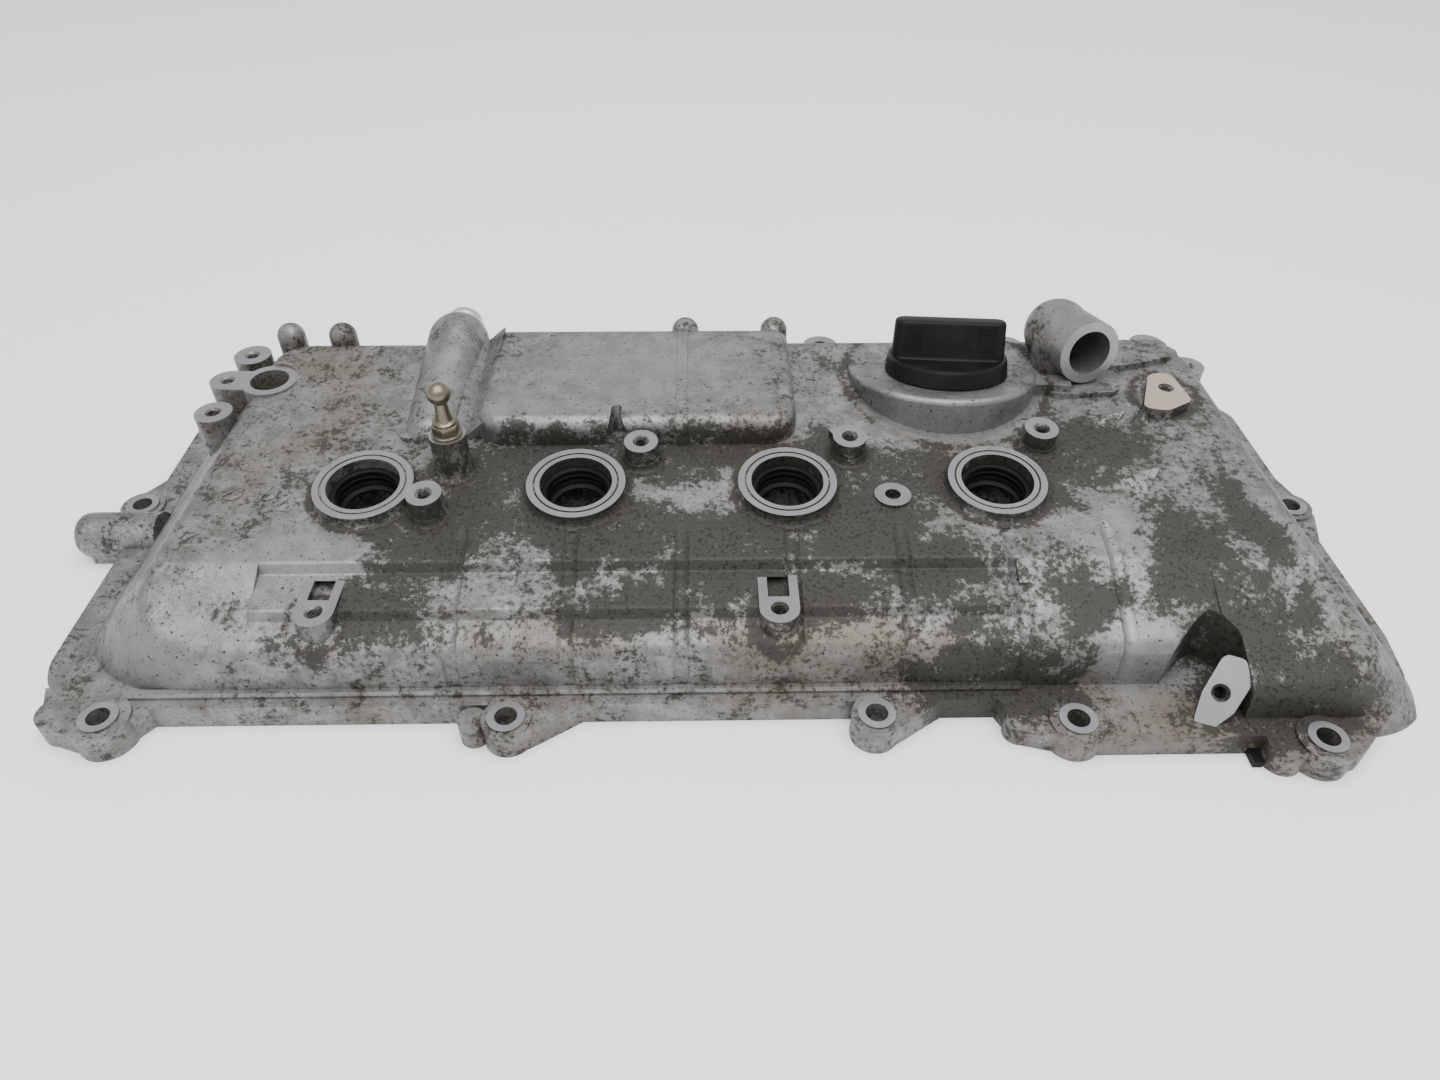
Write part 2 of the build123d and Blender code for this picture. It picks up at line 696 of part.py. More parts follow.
with BuildPart() as breather_space:
    with BuildSketch(Plane.XY.offset(RIM_BOTTOM)):
        with BuildLine():
            FilletPolyline(
                (CHAMBER_LEFT_X + WALL, CHAMBER_FRONT_Y + WALL),
                (CHAMBER_RIGHT_X - WALL, CHAMBER_FRONT_Y + WALL),
                (CHAMBER_RIGHT_X - WALL, CHAMBER_REAR_Y - WALL),
                (CHAMBER_LEFT_X + WALL, CHAMBER_REAR_Y - WALL),
                radius=CHAMBER_CORNER - WALL,
                close=True,
            )
        make_face()
    extrude(amount=CHAMBER_TOP - WALL - RIM_BOTTOM)
    add(scoop(WALL), mode=Mode.SUBTRACT)
    with BuildSketch(Plane.XZ.offset(-HUMP_SECTIONS[2][0])):
        with Locations((HUMP_X, HUMP_SECTIONS[2][1])):
            Circle(HUMP_RADIUS - WALL)
        with Locations((HUMP_X, RIM_BOTTOM)):
            Rectangle(2 * (HUMP_RADIUS - WALL), HUMP_RADIUS)
    with BuildSketch(Plane.XZ.offset(-CHAMBER_REAR_Y + WALL)):
        with Locations((HUMP_X, HUMP_AXIS_Z)):
            Circle(HUMP_RADIUS - WALL)
        with Locations((HUMP_X, (RIM_BOTTOM + HUMP_AXIS_Z) / 2)):
            Rectangle(2 * (HUMP_RADIUS - WALL), HUMP_AXIS_Z - RIM_BOTTOM)
    loft(ruled=True)
    with BuildSketch(Plane.XY.offset(RIM_BOTTOM)):
        with Locations(((HUMP_X + CHAMBER_LEFT_X) / 2, (CHAMBER_FRONT_Y + CHAMBER_REAR_Y) / 2)):
            Rectangle(CHAMBER_LEFT_X - HUMP_X + 2 * WALL, PASSAGE_WIDTH)
    extrude(amount=PASSAGE_TOP - RIM_BOTTOM)

# ---------------------------------------------------------------- frames of the leaning features
RING_PLANES = [leaning_plane(x, 0, RING_HEIGHT, PLUG_TILT) for x in PLUG_XS]
COIL_PLANES = [leaning_plane(*place, PLUG_TILT) for place in COIL_BOSSES]
SEAT_PLANE = leaning_plane(*SEAT_ORIGIN, FILLER_TILT)
ROOF_PLANE = leaning_plane(0, CHAMBER_FRONT_Y, CHAMBER_TOP, CHAMBER_ROOF_TILT)
VENT_PLANE = Plane(origin=(HUMP_X, 0, HUMP_AXIS_Z), x_dir=(0, 1, 0), z_dir=(1, 0, 0))
VALVE_PLANE = Plane(origin=VALVE_FACE, x_dir=VALVE_SIDE, z_dir=VALVE_NORMAL)
BRACKET_PLANE = Plane(origin=BRACKET_HOLE, x_dir=BRACKET_SIDE, z_dir=BRACKET_NORMAL)

# ---------------------------------------------------------------- breather and filler forms
with BuildPart() as chamber:
    with BuildSketch(Plane.XY.offset(CHAMBER_FLOOR)):
        with BuildLine():
            FilletPolyline(
                (CHAMBER_LEFT_X, CHAMBER_FRONT_Y),
                (CHAMBER_RIGHT_X, CHAMBER_FRONT_Y),
                (CHAMBER_RIGHT_X, CHAMBER_REAR_Y),
                (CHAMBER_LEFT_X, CHAMBER_REAR_Y),
                radius=(CHAMBER_CORNER, CHAMBER_CORNER, CHAMBER_CORNER / 2, CHAMBER_CORNER / 2),
                close=True,
            )
        make_face()
    extrude(amount=SEAT_RADIUS)
    split(bisect_by=ROOF_PLANE, keep=Keep.BOTTOM)
    fillet(chamber.edges().filter_by(lambda e: on_plane(e, ROOF_PLANE)), CHAMBER_BLEND)
    ridge_front = CHAMBER_FRONT_Y - CHAMBER_RIDGE_RISE
    ridge_rear = CHAMBER_REAR_Y + CHAMBER_RIDGE_RISE
    ridge_top = CHAMBER_TOP + CHAMBER_RIDGE_RISE
    ridge_rise = (ridge_rear - ridge_front) * math.tan(math.radians(CHAMBER_ROOF_TILT))
    ridge_blend = CHAMBER_BLEND + CHAMBER_RIDGE_RISE
    prism(
        (
            (ridge_front, CHAMBER_FLOOR),
            (ridge_front, ridge_top),
            (ridge_rear, ridge_top + ridge_rise),
            (ridge_rear, CHAMBER_FLOOR),
        ),
        (0, ridge_blend, ridge_blend, 0),
        CHAMBER_RIDGE_X - CHAMBER_RIDGE_WIDTH / 2,
        CHAMBER_RIDGE_X + CHAMBER_RIDGE_WIDTH / 2,
    )
    add(scoop(0), mode=Mode.SUBTRACT)

with BuildPart() as valley:
    for y, z in (VALLEY_FRONT, VALLEY_REAR):
        with BuildSketch(Plane.XZ.offset(-y)):
            Polygon(
                (VALLEY_LEFT_X, z - VALLEY_DEPTH),
                (VALLEY_LEFT_X, z + VALLEY_RISE),
                (VALLEY_X, z),
                (CHAMBER_LEFT_X + WALL, z + 2 * VALLEY_RISE),
                (CHAMBER_LEFT_X + WALL, z - VALLEY_DEPTH),
                align=None,
            )
    loft(ruled=True)

with BuildPart() as hump:
    for y, z, radius in HUMP_SECTIONS:
        with BuildSketch(Plane.XZ.offset(-y)):
            with Locations((HUMP_X, z)):
                Circle(radius)
            with Locations((HUMP_X, (z + HUMP_BASE) / 2)):
                Rectangle(2 * radius, z - HUMP_BASE)
            with Locations((HUMP_X, HUMP_BASE - radius)):
                Rectangle(4 * radius, 2 * radius, mode=Mode.SUBTRACT)
    loft(ruled=True)

with BuildPart() as filler_seat:
    with BuildSketch(Plane.XY.offset(SEAT_FLOOR)):
        with Locations(SEAT_CENTRE):
            Circle(SEAT_RADIUS)
        with Locations((SEAT_CENTRE[0], (SEAT_CENTRE[1] + DECK_REAR_Y) / 2)):
            Rectangle(2 * SEAT_RADIUS, DECK_REAR_Y - SEAT_CENTRE[1])
        with Locations((SEAT_CENTRE[0], DECK_REAR_Y + SEAT_RADIUS)):
            Rectangle(4 * SEAT_RADIUS, 2 * SEAT_RADIUS, mode=Mode.SUBTRACT)
    extrude(amount=SEAT_RADIUS)
    split(bisect_by=SEAT_PLANE, keep=Keep.BOTTOM)
    fillet(filler_seat.edges().filter_by(lambda e: on_plane(e, SEAT_PLANE)), SEAT_EDGE_BLEND)

# ---------------------------------------------------------------- bosses on the outside
CENTRE_SEAT_HEIGHT = deck_z(CENTRE_BOLT[1]) + CENTRE_SEAT_RISE
with BuildPart() as bosses:
    for x, y, radius in LOW_BOLTS:
        post(x, y, 0, BOLT_BOSS_HEIGHT, radius)
        post(x, y, 0, BOLT_SEAT_HEIGHT, BOLT_SEAT_RADIUS)
    for x, y, radius in TALL_BOLTS:
        post(x, y, 0, TALL_SEAT_HEIGHT, radius)
    for x, plane in zip(PLUG_XS, RING_PLANES):
        rod(plane, RING_RADIUS, RING_FOOT_LENGTH)
        blended_foot(x, 0, RING_RADIUS)
    for (x, y, _), plane in zip(COIL_BOSSES, COIL_PLANES):
        rod(plane, COIL_BOSS_RADIUS, COIL_BOSS_SINK)
        blended_foot(x, y, COIL_BOSS_RADIUS)
    for start, end, top in COIL_WEBS:
        bar(start, end, COIL_WEB_WIDTH, RIB_FOOT, top)
    post(*STUD_PLACE, CHAMBER_FLOOR, STUD_BOSS_TOP, STUD_BOSS_RADIUS)
    blended_foot(*STUD_PLACE, STUD_BOSS_RADIUS)
    for x, y, shoulder in REAR_PILLARS:
        post(x, y, CHAMBER_FLOOR, shoulder, PILLAR_RADIUS)
        with Locations((x, y, shoulder)):
            Sphere(PILLAR_RADIUS)
    post(*REAR_STUD[0:2], 0, *REAR_STUD[2:4])
    for x, y, top, radius in EDGE_POSTS:
        post(x, y, EDGE_POST_FOOT, top, radius)
    post(*SENSOR_BORE, CHAMBER_FLOOR, SENSOR_TOP, SENSOR_RIM_RADIUS)
    bar(EDGE_POSTS[1][0:2], SENSOR_BORE, 2 * EDGE_POSTS[1][3], CHAMBER_FLOOR, EDGE_POSTS[1][2])
    for x, y in CLIP_BOSSES:
        post(x, y, CLIP_FOOT, CLIP_TOP, CLIP_RADIUS)
        bar((x, y), (x, y + CLIP_LENGTH), 2 * CLIP_RADIUS, CLIP_FOOT, CLIP_TOP)
    post(*CENTRE_BOLT, CHAMBER_FLOOR, CENTRE_SEAT_HEIGHT, CENTRE_SEAT_RADIUS)
    post(*RIGHT_POST[0:2], EDGE_POST_FOOT, *RIGHT_POST[2:4])
    slab(PAD_PLAN, PAD_BLENDS, RIB_FOOT, PAD_TOP)
    slab(VALVE_STEP_PLAN, STEP_BLEND, RIB_FOOT, VALVE_STEP_TOP)
    slab(REAR_STEP_PLAN, STEP_BLEND, RIB_FOOT, REAR_STEP_TOP)
    post(*VALVE_COLUMN[0:2], RIB_FOOT, *VALVE_COLUMN[2:4])
    bar(*VALVE_LINK[0:2], VALVE_LINK_WIDTH, RIB_FOOT, VALVE_LINK[2])
    add([gusset_wedge(*corners) for corners in RIGHT_GUSSETS])

with BuildPart() as stub:
    with BuildSketch(Plane.YZ.offset(STUB_LEFT_X)):
        with Locations((STUB_Y, STUB_Z)):
            Circle(STUB_RADIUS)
    extrude(amount=STUB_RIGHT_X - STUB_LEFT_X)
    fillet(stub.faces().sort_by(Axis.X)[0].edges(), STUB_BLEND)
    with BuildSketch(Plane.XY):
        with Locations(((STUB_LEFT_X + STUB_BLEND + STUB_RIGHT_X) / 2, STUB_Y)):
            Rectangle(STUB_RIGHT_X - STUB_LEFT_X - STUB_BLEND, 2 * STUB_RADIUS - STUB_LOW)
    extrude(amount=STUB_Z)
    split(bisect_by=Plane.XY, keep=Keep.TOP)

with BuildPart() as bracket:
    slab(BRACKET_PLAN, BRACKET_BLENDS, 0, BRACKET_TOP)
    split(bisect_by=BRACKET_PLANE, keep=Keep.BOTTOM)

with BuildPart() as flange:
    with BuildSketch():
        with BuildLine():
            FilletPolyline(*FLANGE_POINTS, radius=FLANGE_CORNERS, close=True)
        make_face()
        for gusset in FLANGE_GUSSETS:
            Polygon(*gusset, align=None)
        for x, y, radius in FLANGE_LUGS:
            with Locations((x, y)):
                Circle(radius)
    extrude(amount=FLANGE_THICKNESS)

# ---------------------------------------------------------------- what hangs inside
SLEEVED_HOLES = [(x, y, CLIP_TOP) for x, y in CLIP_BOSSES]
SLEEVED_HOLES += [RIGHT_POST[0:3], (*PAD_HOLE, PAD_TOP)]
with BuildPart() as inner_forms:
    with BuildSketch(Plane.XY.offset(RIM_BOTTOM)):
        with BuildLine():
            FilletPolyline(*RIM_PLAN, radius=RIM_CORNER, close=True)
        make_face()
    extrude(amount=DECK_HEIGHT - RIM_BOTTOM)
    add(breather_space.part, mode=Mode.SUBTRACT)
    for x, y in BAFFLE_SCREWS:
        post(x, y, RIM_BOTTOM, DECK_HEIGHT + BAFFLE_BOSS_RADIUS, BAFFLE_BOSS_RADIUS)
    for plane in RING_PLANES:
        rod(plane.offset(-RING_FOOT_LENGTH), WELL_OUTER_RADIUS, WELL_LENGTH - RING_FOOT_LENGTH)
    for x in STIFFENER_XS:
        start = (x, STIFFENER_FRONT_Y)
        bar(start, (x, STIFFENER_REAR_Y), STIFFENER_WIDTH, STIFFENER_BOTTOM, STIFFENER_TOP)
    post(*CENTRE_BOLT, CENTRE_COLUMN_FOOT, DECK_HEIGHT - WALL / 2, CENTRE_COLUMN_RADIUS)
    post(*SENSOR_BORE, SENSOR_SLEEVE_FOOT, SENSOR_TOP - WALL, SENSOR_RIM_RADIUS)
    for x, y, top in SLEEVED_HOLES:
        post(x, y, top - M6_DEPTH - M6_FLOOR, top - M6_FLOOR, M6_SLEEVE_RADIUS)
    rod(SEAT_PLANE, SEAT_PLATE_RADIUS, WALL)
    rod(SEAT_PLANE.offset(-NECK_START), NECK_RADIUS + NECK_WALL, NECK_LENGTH - NECK_START)

# ---------------------------------------------------------------- bores, grooves and holes
with BuildPart() as holes:
    for plane in RING_PLANES:
        rod(plane.offset(WALL), WELL_RADIUS, 2 * WELL_LENGTH)
        with BuildSketch(plane) as ring_groove:
            Circle(RING_GROOVE_OUTER)
            Circle(RING_GROOVE_INNER, mode=Mode.SUBTRACT)
        extrude(ring_groove.sketch, amount=-RING_GROOVE_DEPTH)
    rod(SEAT_PLANE.offset(WALL), NECK_RADIUS, 2 * NECK_LENGTH)
    rod(SEAT_PLANE.offset(SEAT_FLAT_DEPTH), SEAT_FLAT_RADIUS, SEAT_FLAT_DEPTH)
    rod(VALVE_PLANE.offset(WALL), VALVE_BORE_RADIUS, VALVE_BORE_DEPTH)
    with BuildSketch(Plane.XZ.offset(-CHAMBER_REAR_Y + WALL)) as vent_hole:
        with Locations((HUMP_X, HUMP_AXIS_Z)):
            Circle(VENT_RADIUS)
    extrude(vent_hole.sketch, amount=-2 * HUMP_RADIUS)
    post(*SENSOR_BORE, WALL, SENSOR_TOP + WALL, SENSOR_BORE_RADIUS)
    post(*SENSOR_BORE, SENSOR_TOP, SENSOR_TOP + WALL, SENSOR_RIM_RADIUS)
    for x, y, radius in LOW_BOLTS:
        post(x, y, -WALL, BOLT_SEAT_HEIGHT + WALL, BOLT_HOLE_RADIUS)
        post(x, y, BOLT_SEAT_HEIGHT, BOLT_POCKET_TOP, BOLT_POCKET_RADIUS)
    for x, y, radius in TALL_BOLTS:
        post(x, y, -WALL, TALL_SEAT_HEIGHT + WALL, TALL_HOLE_RADIUS)
    post(*CENTRE_BOLT, 0, CENTRE_SEAT_HEIGHT + WALL, CENTRE_HOLE_RADIUS)
    for plane in COIL_PLANES:
        threaded_hole(plane)
    for x, y in CLIP_BOSSES:
        threaded_hole(Plane(origin=(x, y, CLIP_TOP)))
        pocket_end = (x, y + CLIP_LENGTH + CLIP_RADIUS)
        floor = CLIP_TOP - CLIP_POCKET_DEPTH
        bar((x, y + CLIP_POCKET_START), pocket_end, CLIP_POCKET_WIDTH, floor, CLIP_TOP)
    threaded_hole(Plane(origin=(*STUD_PLACE, STUD_BOSS_TOP)))
    for x, y, top, radius in EDGE_POSTS:
        threaded_hole(Plane(origin=(x, y, top)))
    threaded_hole(Plane(origin=RIGHT_POST[0:3]))
    post(*RIGHT_POST[0:3], END_FORM_TOP, BOLT_SEAT_RADIUS)
    threaded_hole(Plane(origin=(*PAD_HOLE, PAD_TOP)))
    threaded_hole(BRACKET_PLANE, BRACKET_HOLE_DEPTH)
    for x, y in BAFFLE_SCREWS:
        post(x, y, RIM_BOTTOM - WALL, RIM_BOTTOM + SCREW_LENGTH, SCREW_RADIUS)

# ---------------------------------------------------------------- shallow grooves down the front
SEAM_FOOT_Y = FRONT_WALL_Y + (SHOULDER_Y - FRONT_WALL_Y) * SEAM_FOOT_Z / SHOULDER_HEIGHT
SEAM_HEAD = ((SEAM_START, deck_z(SEAM_START) + SEAM_DEPTH), (SEAM_RAMP, deck_z(SEAM_RAMP)))
SEAM_TAIL = ((SHOULDER_Y, SHOULDER_HEIGHT), (SEAM_FOOT_Y, SEAM_FOOT_Z))
STEPPED_RUN = (*SEAM_HEAD, STEP_EDGE[1], STEP_FOOT[1], STEP_EDGE[0], STEP_FOOT[0], *SEAM_TAIL)
STEPPED_RUN_BLENDS = (
    EDGE_BLEND,
    STEP_EDGE_BLEND,
    STEP_FOOT_BLEND,
    STEP_EDGE_BLEND,
    STEP_FOOT_BLEND,
    EDGE_BLEND,
)
SMOOTH_RUN = (*SEAM_HEAD, (DECK_FRONT_Y, deck_z(DECK_FRONT_Y)), *SEAM_TAIL)
with BuildPart() as seams:
    for x in SEAM_XS:
        seam(STEPPED_RUN, STEPPED_RUN_BLENDS, x)
    seam(SMOOTH_RUN, EDGE_BLEND, SMOOTH_SEAM_X)

# ---------------------------------------------------------------- the casting
with BuildPart() as casting:
    prism(STEPPED_PROFILE, STEPPED_BLENDS, PANEL_LEFT_X, PANEL_RIGHT_X)
    prism(SMOOTH_PROFILE, SMOOTH_BLENDS, PANEL_RIGHT_X, BULGE_LEFT_X)
    add([left_form.part, right_form.part])
    add(seams.part, mode=Mode.SUBTRACT)
    prism(FOOT_BEAD, 0, FOOT_BEAD_LEFT_X, PANEL_RIGHT_X)
    slab(NOTCH_PLAN, NOTCH_BLENDS, -WALL, NOTCH_TOP, Mode.SUBTRACT)
    with BuildSketch(Plane.XY):
        with Locations((FLANGE_RIGHT_X + FLANGE_THICKNESS / 2, 0)):
            Rectangle(FLANGE_THICKNESS, 2 * FLANGE_REAR_Y)
    extrude(amount=FLANGE_THICKNESS, mode=Mode.SUBTRACT)
    add([flange.part, chamber.part, valley.part, hump.part, filler_seat.part, stub.part])
    with Locations((HUMP_X, HUMP_REAR_Y, HUMP_AXIS_Z)):
        Sphere(HUMP_RADIUS)
    rod(VALVE_PLANE, VALVE_RADIUS, VALVE_LENGTH)
    with Locations(VALVE_PLANE.offset(-VALVE_LENGTH)):
        Sphere(VALVE_BODY_RADIUS)
    add([bosses.part, bracket.part])
    add([cavity_left.part, cavity_right.part], mode=Mode.SUBTRACT)
    add(breather_space.part, mode=Mode.SUBTRACT)
    add(inner_forms.part)
    add(holes.part, mode=Mode.SUBTRACT)
    add(groove.part, mode=Mode.SUBTRACT)
    with BuildSketch():
        with Locations(GASKET_TAB[0:2]):
            Rectangle(GASKET_TAB[2] + 2 * GASKET_CLEARANCE, GASKET_TAB[3] + 2 * GASKET_CLEARANCE)
    extrude(amount=GASKET_LIFT + GASKET_TAB_HEIGHT + GASKET_CLEARANCE, mode=Mode.SUBTRACT)

# ---------------------------------------------------------------- gasket and plug well seals
with BuildPart() as gasket:
    with BuildSketch(Plane.XY.offset(GASKET_LIFT)):
        add(gasket_path.sketch)
        offset(amount=-GASKET_CLEARANCE)
    extrude(amount=GASKET_HEIGHT)
    with BuildSketch(Plane.XY.offset(GASKET_LIFT)):
        add(gasket_inner.sketch)
        offset(amount=GASKET_CLEARANCE)
    extrude(amount=GASKET_HEIGHT, mode=Mode.SUBTRACT)
    with BuildSketch(Plane.XY.offset(GASKET_LIFT)):
        with Locations(GASKET_TAB[0:2]):
            Rectangle(*GASKET_TAB[2:4])
    extrude(amount=GASKET_TAB_HEIGHT)

tube_seals = []
for plane in RING_PLANES:
    with BuildPart() as tube_seal:
        with BuildSketch(plane.offset(-SEAL_TOP)):
            Circle(WELL_RADIUS)
            Circle(SEAL_BORE_RADIUS, mode=Mode.SUBTRACT)
        extrude(amount=-SEAL_LENGTH)
        with BuildSketch(plane.offset(-SEAL_LIP_DEPTH)):
            Circle(SEAL_BORE_RADIUS + SEAL_CLEARANCE)
            Circle(SEAL_LIP_RADIUS, mode=Mode.SUBTRACT)
        extrude(amount=-SEAL_LIP_THICKNESS)
    tube_seals.append(tube_seal)

# ---------------------------------------------------------------- oil filler cap and its seal
with BuildPart() as cap_seal:
    with BuildSketch(SEAT_PLANE.offset(SEAL_CLEARANCE)):
        Circle(SEAL_OUTER_RADIUS)
        Circle(SEAL_INNER_RADIUS, mode=Mode.SUBTRACT)
    extrude(amount=CAP_SEAL_SPACE - 2 * SEAL_CLEARANCE)

with BuildPart() as cap:
    with BuildSketch(SEAT_PLANE.offset(CAP_GAP)):
        Circle(CAP_SKIRT_RADIUS)
    with BuildSketch(SEAT_PLANE.offset(CAP_SKIRT_HEIGHT)):
        Circle(CAP_TOP_RADIUS)
    loft()
    with BuildSketch(SEAT_PLANE.offset(CAP_SKIRT_HEIGHT)):
        Circle(CAP_DISH_RADIUS)
    extrude(amount=-CAP_DISH_DEPTH, mode=Mode.SUBTRACT)
    with BuildSketch(SEAT_PLANE.offset(CAP_SEAL_SPACE)):
        Circle(SEAL_OUTER_RADIUS + CAP_GAP)
    extrude(amount=-CAP_SEAL_SPACE, mode=Mode.SUBTRACT)
    with BuildSketch(SEAT_PLANE.offset(CAP_SEAL_SPACE)):
        Circle(CAP_PLUG_RADIUS)
        Circle(CAP_PLUG_BORE, mode=Mode.SUBTRACT)
    extrude(amount=-CAP_PLUG_LENGTH)
    with BuildSketch(SEAT_PLANE.offset(CAP_SKIRT_HEIGHT - CAP_DISH_DEPTH)):
        SlotOverall(GRIP_LENGTH, GRIP_WIDTH, rotation=GRIP_TURN)
    with BuildSketch(SEAT_PLANE.offset(GRIP_TOP)):
        SlotOverall(GRIP_LENGTH - GRIP_DRAFT, GRIP_WIDTH - GRIP_DRAFT, rotation=GRIP_TURN)
    loft(ruled=True)

# ---------------------------------------------------------------- vent pipe and ball stud
with BuildPart() as vent_pipe:
    with BuildSketch(VENT_PLANE):
        with BuildLine():
            Polyline(
                (VENT_PRESS_Y, VENT_RADIUS - VENT_WALL),
                (VENT_PRESS_Y, VENT_RADIUS),
                (VENT_BEAD_Y - VENT_BEAD_LENGTH, VENT_RADIUS),
                (VENT_BEAD_Y, VENT_RADIUS + VENT_BEAD_RISE),
                (VENT_BEAD_Y + VENT_BEAD_LENGTH, VENT_RADIUS),
                (VENT_END_Y, VENT_RADIUS - VENT_END_TAPER),
                (VENT_END_Y, VENT_RADIUS - VENT_WALL),
                close=True,
            )
        make_face()
    revolve(axis=Axis(VENT_PLANE.origin, VENT_PLANE.x_dir))

with BuildPart() as ball_stud:
    post(*STUD_PLACE, STUD_BOSS_TOP - STUD_THREAD_LENGTH, STUD_BOSS_TOP, M6_RADIUS)
    stud_flange_top = STUD_BOSS_TOP + STUD_FLANGE_HEIGHT
    post(*STUD_PLACE, STUD_BOSS_TOP, stud_flange_top, STUD_FLANGE_RADIUS)
    with BuildSketch(Plane.XY.offset(stud_flange_top)):
        with Locations(STUD_PLACE):
            RegularPolygon(STUD_HEX_RADIUS, 6)
    extrude(amount=STUD_HEX_HEIGHT)
    post(*STUD_PLACE, stud_flange_top, STUD_BALL_Z, STUD_NECK_RADIUS)
    with Locations((*STUD_PLACE, STUD_BALL_Z)):
        Sphere(STUD_BALL_RADIUS)

# ---------------------------------------------------------------- breather baffle and its screws
with BuildPart() as baffle:
    with BuildSketch(Plane.XY.offset(RIM_BOTTOM - BAFFLE_THICKNESS)):
        with BuildLine():
            FilletPolyline(*BAFFLE_PLAN, radius=BAFFLE_CORNER, close=True)
        make_face()
        with Locations(*BAFFLE_SCREWS):
            Circle(BAFFLE_HOLE_RADIUS, mode=Mode.SUBTRACT)
        with Locations(DRAIN_PLACE):
            Circle(DRAIN_RADIUS - BAFFLE_THICKNESS, mode=Mode.SUBTRACT)
    extrude(amount=BAFFLE_THICKNESS)
    with BuildSketch(Plane.XY.offset(RIM_BOTTOM - BAFFLE_THICKNESS)):
        with Locations(DRAIN_PLACE):
            Circle(DRAIN_RADIUS)
            Circle(DRAIN_RADIUS - BAFFLE_THICKNESS, mode=Mode.SUBTRACT)
    extrude(amount=-DRAIN_LENGTH)

with BuildPart() as screws:
    for x, y in BAFFLE_SCREWS:
        seat = RIM_BOTTOM - BAFFLE_THICKNESS
        post(x, y, seat, seat + SCREW_LENGTH, SCREW_RADIUS)
        post(x, y, seat - SCREW_HEAD_HEIGHT, seat, SCREW_HEAD_RADIUS)
        recess_top = seat - SCREW_HEAD_HEIGHT + SCREW_RECESS_DEPTH
        post(x, y, seat - SCREW_HEAD_HEIGHT, recess_top, SCREW_RECESS_RADIUS, Mode.SUBTRACT)

# ---------------------------------------------------------------- placing and writing the pieces
PIECES = {
    "cover_casting": casting,
    "perimeter_gasket": gasket,
    "oil_filler_cap": cap,
    "filler_cap_seal": cap_seal,
    "vent_pipe": vent_pipe,
    "ball_stud": ball_stud,
    "separator_baffle": baffle,
    "baffle_screws": screws,
}
for number, tube_seal in enumerate(tube_seals, start=1):
    PIECES[f"plug_tube_seal_{number}"] = tube_seal

whole = Compound([piece.part for piece in PIECES.values()]).bounding_box()
SHIFT = Location((-whole.center().X, -whole.center().Y, -whole.min.Z))
print("shift", SHIFT.position)
for name, piece in PIECES.items():
    placed = piece.part.moved(SHIFT)
    placed.label = name
    export_step(placed, f"parts/{name}.step")
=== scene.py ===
"""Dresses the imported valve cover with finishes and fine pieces, and sets the studio round it."""

import json
import logging
import math
from collections.abc import Callable, Iterable
from dataclasses import dataclass
from enum import Enum

import bpy
from mathutils import Matrix, Vector


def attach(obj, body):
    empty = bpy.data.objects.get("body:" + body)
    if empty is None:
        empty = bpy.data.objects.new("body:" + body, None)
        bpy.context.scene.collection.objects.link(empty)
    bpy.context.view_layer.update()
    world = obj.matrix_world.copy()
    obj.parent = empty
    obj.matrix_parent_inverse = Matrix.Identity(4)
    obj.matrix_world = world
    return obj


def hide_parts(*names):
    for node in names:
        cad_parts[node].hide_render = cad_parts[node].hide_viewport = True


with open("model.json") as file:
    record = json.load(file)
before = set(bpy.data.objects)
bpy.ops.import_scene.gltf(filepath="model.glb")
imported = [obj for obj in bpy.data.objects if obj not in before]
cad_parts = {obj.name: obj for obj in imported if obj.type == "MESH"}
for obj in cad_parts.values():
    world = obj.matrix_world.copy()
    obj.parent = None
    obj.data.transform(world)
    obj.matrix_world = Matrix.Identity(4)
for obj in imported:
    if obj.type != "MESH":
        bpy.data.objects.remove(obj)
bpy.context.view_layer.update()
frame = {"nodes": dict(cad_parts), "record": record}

LOG = logging.getLogger("valve_cover")

# Lengths and places are in millimetres, and MM turns them into metres.
MM = 0.001
MM_PER_METRE = 1000.0
SAME = 1e-6
STEEP = 0.9
UP = (0.0, 0.0, 1.0)
DOWN = (0.0, 0.0, -1.0)

# Driving places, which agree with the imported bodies.
PLUG_TILT = math.radians(5.47)
PLUG_NORMAL = (0.0, -math.sin(PLUG_TILT), math.cos(PLUG_TILT))
PLUG_XS = (-141.75, -54.25, 33.25, 120.75)
PLUG_Y = -7.65
RING_HEIGHT = 55.0
DECK_HEIGHT = 50.2
COIL_BOSSES = (
    (-113.5, -20.35, 60.0),
    (-27.8, 11.05, 62.0),
    (61.0, 13.65, 62.0),
    (144.5, 18.55, 62.0),
)
CLIP_HOLES = ((-148.2, -68.55, 42.0), (26.9, -68.85, 42.0))
PAD_HOLE = (211.0, 52.55, 60.0)
UPRIGHT_HOLES = (
    *CLIP_HOLES,
    (-222.8, 46.75, 54.0),
    (-223.0, 68.65, 57.0),
    (-218.7, 90.85, 57.0),
    (235.1, 84.35, 52.0),
    PAD_HOLE,
)
BRACKET_HOLE = (192.0, -94.05, 20.0)
BRACKET_NORMAL = (-0.25, -0.66, 0.71)
VALVE_MOUTH = (174.5, 60.05, 74.0)
VALVE_NORMAL = (0.22, -0.96, 0.16)
CAP_SEAT = (111.4, 65.05, 61.75)
CAP_TILT = math.radians(13.0)
STUD_PLACE = (-107.1, 5.95)
VENT_AXIS = (-120.3, 58.8)

